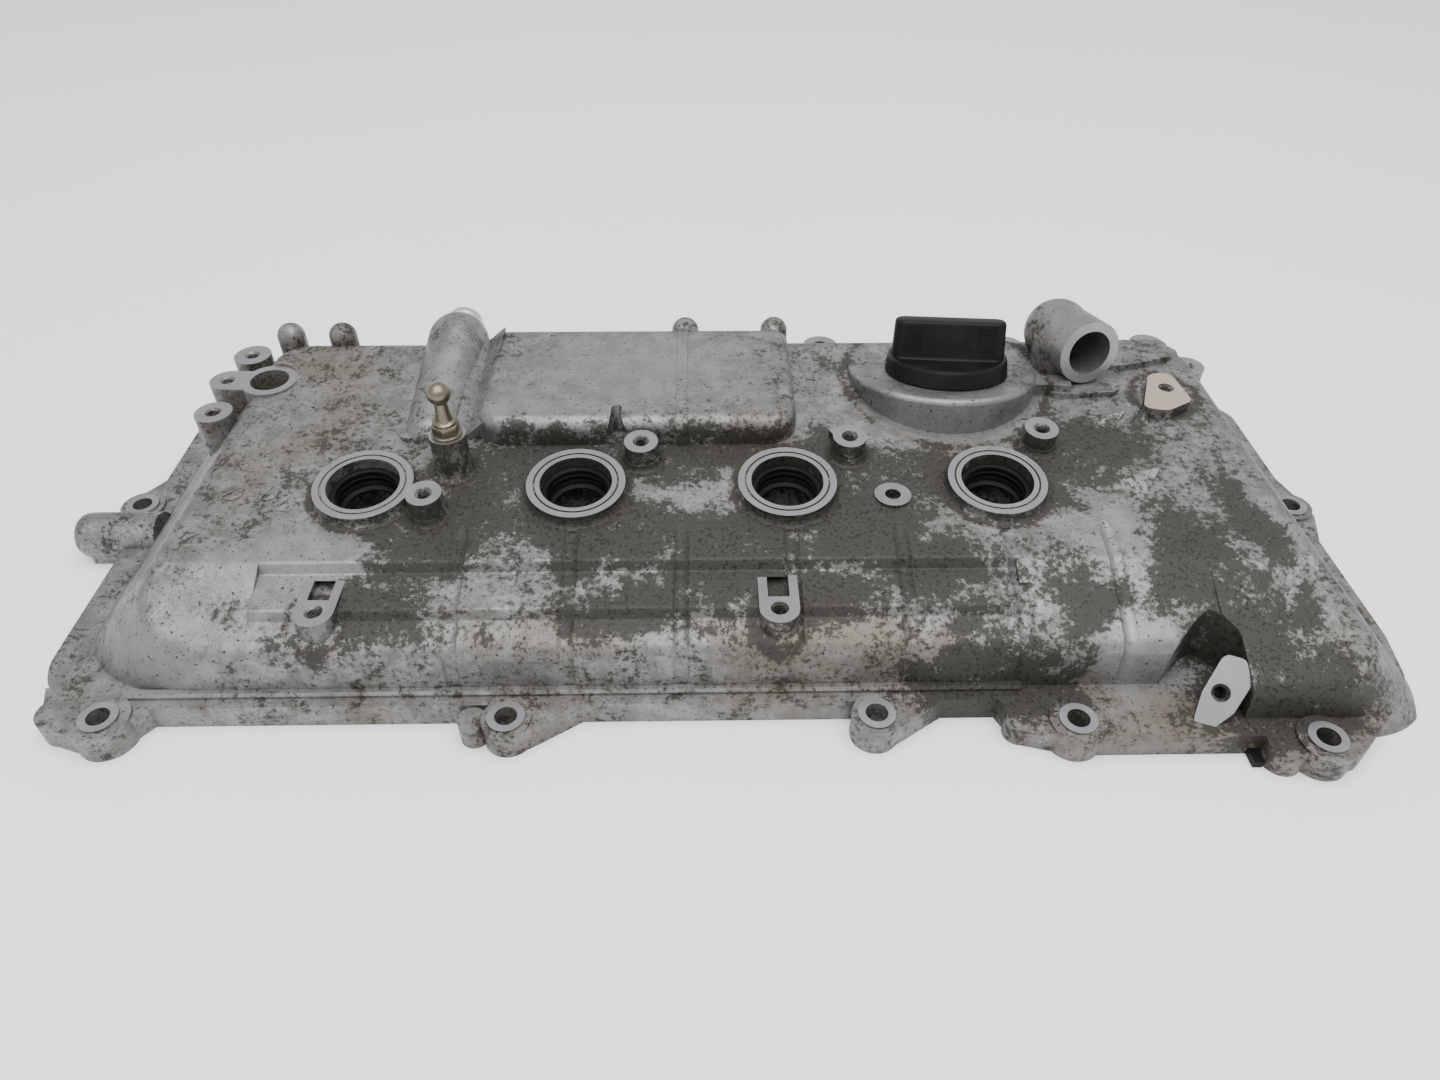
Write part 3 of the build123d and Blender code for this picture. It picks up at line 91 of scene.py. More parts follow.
Colour = tuple[float, float, float, float]
Triple = tuple[float, float, float]
Levels = tuple[float, float]
Profile = tuple[Levels, ...]
Spots = tuple[tuple[Triple, Triple], ...]
Source = bpy.types.NodeSocket | float | tuple[float, ...]


class Body(Enum):
    """The moving bodies of the cover."""

    COVER = "cover"
    CAP = "filler_cap"


class Slot(Enum):
    """The material slots that the record names."""

    CAST = "cast_aluminium"
    RUBBER = "black_rubber"
    PLASTIC = "black_plastic"
    ZINC = "zinc_plate"
    OLIVE = "olive_zinc"
    SHEET = "sheet_aluminium"


class Graph:
    """Lays shader nodes into one tree and joins them."""

    # Places of the colour sockets on a Mix node, whose names repeat.
    MIX_SHARE = 0
    MIX_FIRST = 6
    MIX_SECOND = 7
    MIX_RESULT = 2

    def __init__(self, tree: bpy.types.NodeTree) -> None:
        """Keeps the tree.

        Args:
            tree: the node tree of a material or of a node group.
        """
        self.tree = tree

    def add(self, kind: str, **settings: object) -> bpy.types.Node:
        """Adds one node.

        Args:
            kind: Blender's class name of the node.
            settings: properties to set on it.

        Returns:
            The new node.
        """
        node = self.tree.nodes.new(kind)
        for name, value in settings.items():
            setattr(node, name, value)
        return node

    def feed(self, node: bpy.types.Node, key: str | int, value: Source) -> None:
        """Joins an output to a socket, or sets the socket's own value.

        Args:
            node: the node that takes the value.
            key: name or number of its input.
            value: an output socket, or a constant.
        """
        if isinstance(value, bpy.types.NodeSocket):
            self.tree.links.new(value, node.inputs[key])
        else:
            node.inputs[key].default_value = value

    def math(self, operation: str, first: Source, second: Source = 0.0) -> bpy.types.NodeSocket:
        """Works out a sum on two values.

        Args:
            operation: Blender's name of the sum.
            first: an output socket, or a constant.
            second: an output socket, or a constant.

        Returns:
            The result, kept between 0 and 1 unless it is a difference.
        """
        node = self.add("ShaderNodeMath", operation=operation, use_clamp=operation != "SUBTRACT")
        self.feed(node, 0, first)
        self.feed(node, 1, second)
        return node.outputs[0]

    def scaled(self, value: Source, share: float) -> bpy.types.NodeSocket:
        """Returns a share of a value."""
        return self.math("MULTIPLY", value, share)

    def most(self, masks: list[bpy.types.NodeSocket]) -> bpy.types.NodeSocket:
        """Returns the highest of several masks."""
        total = masks[0]
        for mask in masks[1:]:
            total = self.math("MAXIMUM", total, mask)
        return total

    def placed(self, tree: bpy.types.NodeTree, **values: Source) -> bpy.types.NodeSocket:
        """Places a node group.

        Args:
            tree: the node group.
            values: what each of its inputs takes.

        Returns:
            The group's first output.
        """
        node = self.add("ShaderNodeGroup")
        node.node_tree = tree
        for name, value in values.items():
            self.feed(node, name, value)
        return node.outputs[0]

    def gathered(
        self, tree: bpy.types.NodeTree, place: Source, names: tuple[str, ...], rows: Iterable
    ) -> bpy.types.NodeSocket:
        """Places a node group once for every row.

        Args:
            tree: the node group.
            place: coordinates in millimetres.
            names: the inputs that a row fills.
            rows: the values of those inputs.

        Returns:
            The highest of the groups' masks.
        """
        return self.most([self.placed(tree, Place=place, **dict(zip(names, row))) for row in rows])

    def vector(self, operation: str, first: Source, second: Source) -> bpy.types.Node:
        """Returns the node that works on two vectors."""
        node = self.add("ShaderNodeVectorMath", operation=operation)
        self.feed(node, 0, first)
        self.feed(node, 1, second)
        return node

    def noise(self, place: Source, weave: Triple, output: str = "Fac") -> bpy.types.NodeSocket:
        """Adds a noise.

        Args:
            place: the coordinates, in millimetres.
            weave: features per millimetre, number of finer layers and their strength.
            output: name of the output that is wanted.

        Returns:
            That output of the noise.
        """
        node = self.add("ShaderNodeTexNoise")
        for key, value in zip(("Scale", "Detail", "Roughness"), weave):
            self.feed(node, key, value)
        self.feed(node, "Vector", place)
        return node.outputs[output]

    def ramp(self, value: Source, low: Source, high: Source) -> bpy.types.NodeSocket:
        """Returns 0 below low, 1 above high and a smooth passage between."""
        node = self.add("ShaderNodeMapRange", interpolation_type="SMOOTHSTEP")
        self.feed(node, "Value", value)
        self.feed(node, "From Min", low)
        self.feed(node, "From Max", high)
        return node.outputs["Result"]

    def span(self, value: Source, low: float, high: float) -> bpy.types.NodeSocket:
        """Returns a value from 0 to 1 spread between low and high."""
        node = self.add("ShaderNodeMapRange")
        self.feed(node, "Value", value)
        self.feed(node, "To Min", low)
        self.feed(node, "To Max", high)
        return node.outputs["Result"]

    def mix(self, share: Source, first: Source, second: Source) -> bpy.types.NodeSocket:
        """Returns the blend of two colours."""
        node = self.add("ShaderNodeMix", data_type="RGBA")
        self.feed(node, self.MIX_SHARE, share)
        self.feed(node, self.MIX_FIRST, first)
        self.feed(node, self.MIX_SECOND, second)
        return node.outputs[self.MIX_RESULT]

    def bump(self, height: Source, depth: float) -> bpy.types.NodeSocket:
        """Returns the normal of a surface roughened to a depth in millimetres."""
        node = self.add("ShaderNodeBump")
        self.feed(node, "Height", height)
        self.feed(node, "Strength", 1.0)
        self.feed(node, "Distance", depth * MM)
        return node.outputs["Normal"]

    def millimetres(self) -> bpy.types.NodeSocket:
        """Returns the object's own coordinates in millimetres."""
        place = self.add("ShaderNodeTexCoord").outputs["Object"]
        node = self.add("ShaderNodeVectorMath", operation="SCALE")
        self.feed(node, 0, place)
        self.feed(node, "Scale", MM_PER_METRE)
        return node.outputs[0]


class Mask:
    """A node group that puts out one mask, built once."""

    NAME = ""
    VECTORS: tuple[str, ...] = ()
    VALUES: tuple[str, ...] = ()

    @classmethod
    def group(cls) -> bpy.types.NodeTree:
        """Returns the node group."""
        tree = bpy.data.node_groups.get(cls.NAME)
        if tree is not None:
            return tree
        tree = bpy.data.node_groups.new(cls.NAME, "ShaderNodeTree")
        kinds = [(name, "NodeSocketVector") for name in cls.VECTORS]
        kinds += [(name, "NodeSocketFloat") for name in cls.VALUES]
        for name, kind in kinds:
            tree.interface.new_socket(name=name, in_out="INPUT", socket_type=kind)
        tree.interface.new_socket(name="Mask", in_out="OUTPUT", socket_type="NodeSocketFloat")
        graph = Graph(tree)
        mask = cls.mask(graph, graph.add("NodeGroupInput").outputs)
        graph.feed(graph.add("NodeGroupOutput"), 0, mask)
        return tree

    @classmethod
    def mask(cls, graph: Graph, given: bpy.types.NodeOutputs) -> bpy.types.NodeSocket:
        """Lays the nodes of the mask.

        Args:
            graph: the group's graph.
            given: the group's inputs.

        Returns:
            The mask, from 0 to 1.
        """
        raise NotImplementedError

    @staticmethod
    def length(graph: Graph, value: Source) -> bpy.types.NodeSocket:
        """Returns the length of a vector."""
        node = graph.add("ShaderNodeVectorMath", operation="LENGTH")
        graph.feed(node, 0, value)
        return node.outputs["Value"]

    @staticmethod
    def size(graph: Graph, value: Source) -> bpy.types.NodeSocket:
        """Returns a value without its sign."""
        node = graph.add("ShaderNodeMath", operation="ABSOLUTE")
        graph.feed(node, 0, value)
        return node.outputs[0]


class PatchMask(Mask):
    """Node group: a soft-edged spot round a place."""

    NAME = "soft_patch"
    VECTORS = ("Place", "Centre", "Reach")
    REACHES = 1.6
    FADE = 1.2

    @classmethod
    def mask(cls, graph: Graph, given: bpy.types.NodeOutputs) -> bpy.types.NodeSocket:
        """Returns 1 at the centre and 0 a few reaches away."""
        away = graph.vector("SUBTRACT", given["Place"], given["Centre"]).outputs[0]
        reaches = graph.vector("DIVIDE", away, given["Reach"]).outputs[0]
        inside = graph.math("SUBTRACT", cls.REACHES, cls.length(graph, reaches))
        return graph.ramp(inside, 0.0, cls.FADE)


class FootMask(Mask):
    """Node group: the ring round the foot of a round boss, where painted crease shade and oil dirt
    darken the skin.
    """

    NAME = "foot_dirt_and_shade"
    VECTORS = ("Place", "Centre")
    VALUES = ("Radius", "Width")
    SQUASH = (1.0, 1.0, 0.35)

    @classmethod
    def mask(cls, graph: Graph, given: bpy.types.NodeOutputs) -> bpy.types.NodeSocket:
        """Returns 1 on the ring and 0 past its width."""
        away = graph.vector("SUBTRACT", given["Place"], given["Centre"]).outputs[0]
        flat = graph.vector("MULTIPLY", away, cls.SQUASH).outputs[0]
        miss = graph.math("SUBTRACT", cls.length(graph, flat), given["Radius"])
        near = graph.math("SUBTRACT", given["Width"], cls.size(graph, miss))
        return graph.ramp(near, 0.0, given["Width"])


class SeatMask(Mask):
    """Node group: the faces that were machined in one plane."""

    NAME = "machined_seat"
    VECTORS = ("Place", "Facing", "Axis")
    VALUES = ("Height",)
    TURNED = 0.9975
    SQUARE = 0.9990
    DEPTH = 0.3
    FADE = 0.1

    @classmethod
    def mask(cls, graph: Graph, given: bpy.types.NodeOutputs) -> bpy.types.NodeSocket:
        """Returns 1 on faces that look along the axis at one height."""
        facing = graph.vector("DOT_PRODUCT", given["Facing"], given["Axis"]).outputs["Value"]
        along = graph.vector("DOT_PRODUCT", given["Place"], given["Axis"]).outputs["Value"]
        level = cls.size(graph, graph.math("SUBTRACT", along, given["Height"]))
        flat = graph.ramp(facing, cls.TURNED, cls.SQUARE)
        near = graph.ramp(graph.math("SUBTRACT", cls.DEPTH, level), 0.0, cls.FADE)
        return graph.math("MULTIPLY", flat, near)


@dataclass(frozen=True)
class Finish:
    """A finish with its name and its look."""

    name: str

    def start(self) -> tuple[bpy.types.Material, Graph, bpy.types.Node]:
        """Returns the new material, its graph and its shader."""
        paint = bpy.data.materials.new(self.name)
        paint.use_nodes = True
        graph = Graph(paint.node_tree)
        return paint, graph, paint.node_tree.nodes["Principled BSDF"]


@dataclass(frozen=True)
class Layers:
    """Masks of everything that lies on the cast skin."""

    mottle: bpy.types.NodeSocket
    clean: bpy.types.NodeSocket
    seats: bpy.types.NodeSocket
    pad: bpy.types.NodeSocket
    haze: bpy.types.NodeSocket
    film: bpy.types.NodeSocket
    speck: bpy.types.NodeSocket
    amber: bpy.types.NodeSocket


@dataclass(frozen=True)
class CastSkin(Finish):
    """Die-cast aluminium: pale skin, oil stains, brown film and bright machined seats."""

    bright: Colour = (0.27, 0.27, 0.275, 1.0)
    dull: Colour = (0.165, 0.162, 0.156, 1.0)
    haze: Colour = (0.118, 0.113, 0.102, 1.0)
    patina: Colour = (0.020, 0.018, 0.0135, 1.0)
    soot: Colour = (0.012, 0.010, 0.007, 1.0)
    varnish: Colour = (0.125, 0.102, 0.074, 1.0)
    machined: Colour = (0.34, 0.34, 0.345, 1.0)
    primed: Colour = (0.33, 0.27, 0.225, 1.0)
    shine: float = 0.28

    # Noises: features per millimetre, number of finer layers and their strength.
    warp_weave: Triple = (0.035, 4.0, 0.6)
    broad_weave: Triple = (0.016, 4.0, 0.55)
    mottle_weave: Triple = (0.11, 6.0, 0.66)
    island_weave: Triple = (0.085, 5.0, 0.62)
    crumb_weave: Triple = (0.42, 7.0, 0.74)
    speck_weave: Triple = (0.62, 5.0, 0.62)
    grain_weave: Triple = (1.7, 2.0, 0.6)
    warp_middle: Triple = (0.5, 0.5, 0.5)
    warp_push: Triple = (42.0, 42.0, 30.0)

    # What each layer adds to the soiling, whose level then picks haze and film.
    island_share: float = 0.42
    crumb_share: float = 0.58
    dark_share: float = 0.16
    broad_share: float = 0.16
    # The foot rings add painted crease shade as well as dirt.
    foot_share: float = 0.09
    clean_share: float = 0.13
    haze_levels: Levels = (0.53, 0.62)
    film_levels: Levels = (0.600, 0.660)
    speck_levels: Levels = (0.665, 0.70)
    speck_share: float = 0.5
    speck_least: float = 0.05

    # How strongly each layer covers what lies under it.
    polish_cover: float = 0.55
    haze_cover: float = 0.72
    amber_cover: float = 0.70
    film_cover: float = 0.88
    speck_cover: float = 0.85
    wear_cover: float = 0.4
    amber_least: float = 0.10
    mottle_levels: Levels = (0.36, 0.64)
    amber_levels: Levels = (0.36, 0.62)
    foot_levels: Levels = (0.4, 0.6)
    wear_levels: Levels = (0.3, 0.7)

    # Gloss and relief.
    metal: float = 0.85
    metal_loss: float = 0.75
    primer_loss: float = 0.8
    haze_matt: float = 0.55
    amber_matt: float = 0.6
    rough_levels: Levels = (0.36, 0.56)
    matt_rough: float = 0.06
    seat_gloss: float = 0.14
    grain_height: float = 0.25
    swell_height: float = 0.6
    film_height: float = 0.06
    seat_calm: float = 0.9
    relief: float = 0.6

    # Machined planes that lie level, by height, and the primed pad.
    level_seats: tuple[float, ...] = (13.0, 42.0, 52.0, 54.0, 57.0, 57.6, 70.0, 50.61)
    pad_spot: Spots = (((207, 50, 60), (22, 24, 6)),)
    pad_levels: Levels = (0.05, 0.1)

    # Rings of painted crease shade and oil dirt round the boss feet: centre, radius and width.
    feet: tuple[tuple[Triple, float, float], ...] = (
        *(((x, PLUG_Y, 51.0), 22.5, 3.2) for x in PLUG_XS),
        *(((x, y, z - 9.0), 9.2, 2.6) for x, y, z in COIL_BOSSES),
        *(((x, y, 36.0), 11.0, 3.0) for x, y, _ in CLIP_HOLES),
        ((*STUD_PLACE, 51.5), 9.8, 3.0),
        ((CAP_SEAT[0], CAP_SEAT[1], 56.0), 47.0, 4.0),
        ((PAD_HOLE[0], PAD_HOLE[1], 53.0), 15.0, 4.0),
    )

    # Soft spots: centre and reach.
    dark: Spots = (
        ((-110, -37, 47), (22, 15, 22)),
        ((-93, -15, 49), (14, 13, 22)),
        ((-43, -32, 47), (34, 19, 22)),
        ((5, -39, 47), (28, 25, 22)),
        ((62, -26, 49), (24, 19, 22)),
        ((87, -47, 46), (24, 12, 22)),
        ((-26, -66, 38), (28, 10, 18)),
        ((42, -60, 42), (24, 12, 18)),
        ((-126, -61, 40), (19, 14, 22)),
        ((-70, 12, 52), (44, 18, 16)),
        ((20, 4, 52), (46, 20, 16)),
        ((88, 4, 53), (34, 20, 16)),
        ((140, 2, 54), (34, 22, 16)),
        ((-20, -24, 49), (90, 14, 12)),
        ((96, -70, 30), (12, 10, 14)),
        ((149, -59, 35), (16, 23, 22)),
        ((218, -26, 47), (12, 26, 22)),
        ((112, -86, 13), (35, 10, 22)),
        ((220, -94, 15), (30, 15, 22)),
        ((210, -72, 25), (23, 22, 22)),
        ((49, 15, 54), (17, 15, 22)),
        ((172, 20, 54), (26, 15, 22)),
        ((186, -46, 44), (20, 24, 22)),
    )
    warm: Spots = (
        ((-186, 55, 55), (41, 44, 26)),
        ((-213, 2, 50), (25, 44, 26)),
        ((-60, -92, 6), (170, 16, 14)),
        ((-57, -79, 25), (50, 13, 22)),
        ((40, -78, 28), (50, 13, 22)),
        ((248, -69, 10), (34, 53, 20)),
        ((160, -104, 6), (80, 20, 16)),
        ((23, 19, 56), (26, 20, 20)),
        ((108, 7, 54), (30, 16, 20)),
        ((-112, 12, 55), (19, 20, 20)),
        ((-120, 95, 60), (14, 14, 20)),
    )
    clean: Spots = (
        ((-210, -67, 20), (23, 22, 22)),
        ((-30, 68, 67), (42, 30, 12)),
        ((-73, 30, 62), (26, 12, 14)),
        ((-115, 50, 70), (13, 30, 12)),
        ((111, 26, 60), (38, 20, 18)),
        ((164, -80, 25), (14, 19, 22)),
        ((160, -42, 44), (20, 25, 16)),
        ((-3, -7, 50), (25, 12, 16)),
        ((-163, -44, 46), (23, 15, 16)),
        ((174, 70, 78), (24, 24, 16)),
    )

    def spots(self, graph: Graph, place: Source, chosen: Spots) -> bpy.types.NodeSocket:
        """Returns one mask of several spots."""
        return graph.gathered(PatchMask.group(), place, ("Centre", "Reach"), chosen)

    def rims(self, graph: Graph, place: Source) -> bpy.types.NodeSocket:
        """Returns the mask of the painted crease shade and dirt round every foot."""
        return graph.gathered(FootMask.group(), place, ("Centre", "Radius", "Width"), self.feet)

    def planes(self) -> list[tuple[Triple, float]]:
        """Returns the normal and the height of every machined plane."""
        planes = [(UP, height) for height in self.level_seats]
        planes.append((DOWN, 0.0))
        tilted = [(PLUG_NORMAL, (0.0, PLUG_Y, RING_HEIGHT))]
        tilted += [(PLUG_NORMAL, boss) for boss in COIL_BOSSES]
        tilted += [(BRACKET_NORMAL, BRACKET_HOLE), (VALVE_NORMAL, VALVE_MOUTH)]
        for normal, spot in tilted:
            unit = Vector(normal).normalized()
            planes.append((tuple(unit), unit.dot(Vector(spot))))
        return planes

    def seats(self, graph: Graph, place: Source, facing: Source) -> bpy.types.NodeSocket:
        """Returns the mask of every machined seat."""
        rows = [(facing, axis, height) for axis, height in self.planes()]
        return graph.gathered(SeatMask.group(), place, ("Facing", "Axis", "Height"), rows)

    def pad(self, graph: Graph, place: Source, facing: Source) -> bpy.types.NodeSocket:
        """Returns the mask of the sensor pad's primed face."""
        level = graph.placed(
            SeatMask.group(), Place=place, Facing=facing, Axis=UP, Height=PAD_HOLE[2]
        )
        near = self.spots(graph, place, self.pad_spot)
        return graph.math("MULTIPLY", level, graph.ramp(near, *self.pad_levels))

    def even_soiling_and_crease_shade(
        self, graph: Graph, warped: Source, broad: Source, feet: Source, clean: Source
    ) -> bpy.types.NodeSocket:
        """Adds up what soils the skin evenly, with the painted crease shade round the feet.

        Args:
            graph: the material's graph.
            warped: warped coordinates in millimetres.
            broad: the noise of wide clouds.
            feet: the mask of painted crease shade and dirt round the feet.
            clean: the mask of rubbed places.

        Returns:
            The soiling with the crease shade, which is below 0 where the skin is rubbed.
        """
        dark = graph.scaled(self.spots(graph, warped, self.dark), self.dark_share)
        soiling = graph.math("ADD", dark, graph.span(broad, 0.0, self.broad_share))
        # The feet add painted crease shade to the soiling.
        soiling = graph.math("ADD", soiling, graph.scaled(feet, self.foot_share))
        return graph.math("SUBTRACT", soiling, graph.scaled(clean, self.clean_share))

    def amber(
        self, graph: Graph, warped: Source, broad: Source, mottle: Source, feet: Source
    ) -> bpy.types.NodeSocket:
        """Lays the mask of the thin brown varnish.

        Args:
            graph: the material's graph.
            warped: warped coordinates in millimetres.
            broad: the noise of wide clouds.
            mottle: the noise of the skin.
            feet: the mask of painted crease shade and dirt round the feet.

        Returns:
            The mask.
        """
        warm = graph.span(self.spots(graph, warped, self.warm), self.amber_least, 1.0)
        clouds = graph.math("MULTIPLY", graph.ramp(broad, *self.amber_levels), warm)
        # Brown rings at the boss feet: painted crease shade as well as oil varnish.
        rings = graph.math("MULTIPLY", feet, graph.ramp(mottle, *self.foot_levels))
        return graph.math("MAXIMUM", clouds, rings)

    def layers(self, graph: Graph, place: Source) -> Layers:
        """Lays the mask of every layer.

        Args:
            graph: the material's graph.
            place: coordinates in millimetres.

        Returns:
            The masks.
        """
        facing = graph.add("ShaderNodeNewGeometry").outputs["True Normal"]
        warp = graph.noise(place, self.warp_weave, "Color")
        shove = graph.vector("SUBTRACT", warp, self.warp_middle).outputs[0]
        push = graph.vector("MULTIPLY", shove, self.warp_push).outputs[0]
        warped = graph.vector("ADD", place, push).outputs[0]
        broad = graph.noise(place, self.broad_weave)
        mottle = graph.noise(place, self.mottle_weave)
        feet = self.rims(graph, place)
        clean = self.spots(graph, warped, self.clean)
        # The foot rings put painted crease shade into the soiling, so haze and film gather round
        # the boss feet.
        even = self.even_soiling_and_crease_shade(graph, warped, broad, feet, clean)
        islands = graph.span(graph.noise(place, self.island_weave), 0.0, self.island_share)
        crumbs = graph.span(graph.noise(place, self.crumb_weave), 0.0, self.crumb_share)
        soiled = graph.math("ADD", graph.math("ADD", islands, crumbs), even)
        least = graph.math("MAXIMUM", graph.scaled(even, self.speck_share), self.speck_least)
        specks = graph.math("ADD", graph.noise(place, self.speck_weave), least)
        return Layers(
            mottle=mottle,
            clean=clean,
            seats=self.seats(graph, place, facing),
            pad=self.pad(graph, place, facing),
            haze=graph.ramp(soiled, *self.haze_levels),
            film=graph.ramp(soiled, *self.film_levels),
            speck=graph.ramp(specks, *self.speck_levels),
            amber=self.amber(graph, warped, broad, mottle, feet),
        )

    def colour(self, graph: Graph, layers: Layers) -> bpy.types.NodeSocket:
        """Returns the colour, with coat laid over coat."""
        skin = graph.mix(graph.ramp(layers.mottle, *self.mottle_levels), self.dull, self.bright)
        worn = graph.scaled(graph.ramp(layers.mottle, *self.wear_levels), self.wear_cover)
        bare = graph.mix(worn, self.machined, self.dull)
        coats = (
            (graph.scaled(layers.clean, self.polish_cover), self.bright),
            (graph.scaled(layers.haze, self.haze_cover), self.haze),
            (graph.scaled(layers.amber, self.amber_cover), self.varnish),
            (graph.scaled(layers.film, self.film_cover), self.patina),
            (graph.scaled(layers.speck, self.speck_cover), self.soot),
            (layers.seats, bare),
            (layers.pad, self.primed),
        )
        for share, coat in coats:
            skin = graph.mix(share, skin, coat)
        return skin

    def gloss(self, graph: Graph, shader: bpy.types.Node, layers: Layers) -> None:
        """Feeds how metallic, rough and shiny the surface is.

        Args:
            graph: the material's graph.
            shader: the shader to feed.
            layers: the masks of the layers.
        """
        stained = graph.math("MAXIMUM", layers.film, graph.scaled(layers.haze, self.haze_matt))
        matt = graph.math("MAXIMUM", stained, graph.scaled(layers.amber, self.amber_matt))
        matt = graph.math("MULTIPLY", matt, graph.math("SUBTRACT", 1.0, layers.seats))
        metal = graph.math("SUBTRACT", self.metal, graph.scaled(matt, self.metal_loss))
        metal = graph.math("SUBTRACT", metal, graph.scaled(layers.pad, self.primer_loss))
        rough = graph.span(layers.mottle, *self.rough_levels)
        rough = graph.math("ADD", rough, graph.scaled(matt, self.matt_rough))
        rough = graph.math("SUBTRACT", rough, graph.scaled(layers.seats, self.seat_gloss))
        graph.feed(shader, "Metallic", metal)
        graph.feed(shader, "Roughness", rough)
        graph.feed(shader, "Specular IOR Level", self.shine)

    def skin_normal(self, graph: Graph, place: Source, layers: Layers) -> bpy.types.NodeSocket:
        """Returns the normal of the grainy skin, which is calm on the machined seats."""
        grain = graph.span(graph.noise(place, self.grain_weave), 0.0, self.grain_height)
        swell = graph.span(layers.mottle, 0.0, self.swell_height)
        film = graph.scaled(layers.film, self.film_height)
        height = graph.math("ADD", graph.math("ADD", grain, swell), film)
        calm = graph.math("SUBTRACT", 1.0, graph.scaled(layers.seats, self.seat_calm))
        return graph.bump(graph.math("MULTIPLY", height, calm), self.relief)

    def build(self) -> bpy.types.Material:
        """Returns the finished material."""
        paint, graph, shader = self.start()
        place = graph.millimetres()
        layers = self.layers(graph, place)
        graph.feed(shader, "Base Color", self.colour(graph, layers))
        self.gloss(graph, shader, layers)
        graph.feed(shader, "Normal", self.skin_normal(graph, place, layers))
        return paint


@dataclass(frozen=True)
class Moulding(Finish):
    """Rubber or nylon, dulled by dust and oil."""

    colour: Colour = (0.004, 0.004, 0.0045, 1.0)
    dust: Colour = (0.030, 0.028, 0.026, 1.0)
    dust_share: float = 0.22
    shine: float = 0.16
    rough_levels: Levels = (0.34, 0.56)
    smear_weave: Triple = (0.06, 7.0, 0.65)
    smear_levels: Levels = (0.42, 0.72)
    speck_weave: Triple = (0.8, 3.0, 0.5)
    speck_levels: Levels = (0.66, 0.72)
    grain_weave: Triple = (2.2, 3.0, 0.6)
    grain_depth: float = 0.04

    def build(self) -> bpy.types.Material:
        """Returns the finished material."""
        paint, graph, shader = self.start()
        place = graph.millimetres()
        smear = graph.noise(place, self.smear_weave)
        smears = graph.scaled(graph.ramp(smear, *self.smear_levels), self.dust_share)
        specks = graph.ramp(graph.noise(place, self.speck_weave), *self.speck_levels)
        dusty = graph.math("MAXIMUM", smears, graph.scaled(specks, self.dust_share))
        grain = graph.noise(place, self.grain_weave)
        graph.feed(shader, "Base Color", graph.mix(dusty, self.colour, self.dust))
        graph.feed(shader, "Roughness", graph.span(smear, *self.rough_levels))
        graph.feed(shader, "Specular IOR Level", self.shine)
        graph.feed(shader, "Normal", graph.bump(grain, self.grain_depth))
        return paint


@dataclass(frozen=True)
class Plating(Finish):
    """Plated or bare metal with a tint, dull spots and turning marks."""

    colour: Colour = (0.62, 0.66, 0.60, 1.0)
    stain: Colour = (0.25, 0.22, 0.15, 1.0)
    stain_levels: Levels = (0.50, 0.68)
    stain_cover: float = 0.8
    metal: float = 0.95
    metal_loss: float = 0.4
    rough_levels: Levels = (0.22, 0.42)
    cloud_weave: Triple = (0.22, 8.0, 0.68)
    mark_weave: Triple = (0.7, 3.0, 0.6)
    mark_stretch: Triple = (1.0, 1.0, 9.0)
    mark_depth: float = 0.015

    def build(self) -> bpy.types.Material:
        """Returns the finished material."""
        paint, graph, shader = self.start()
        place = graph.millimetres()
        cloud = graph.noise(place, self.cloud_weave)
        stained = graph.scaled(graph.ramp(cloud, *self.stain_levels), self.stain_cover)
        metal = graph.math("SUBTRACT", self.metal, graph.scaled(stained, self.metal_loss))
        stretched = graph.vector("MULTIPLY", place, self.mark_stretch).outputs[0]
        marks = graph.noise(stretched, self.mark_weave)
        graph.feed(shader, "Base Color", graph.mix(stained, self.colour, self.stain))
        graph.feed(shader, "Metallic", metal)
        graph.feed(shader, "Roughness", graph.span(cloud, *self.rough_levels))
        graph.feed(shader, "Normal", graph.bump(marks, self.mark_depth))
        return paint


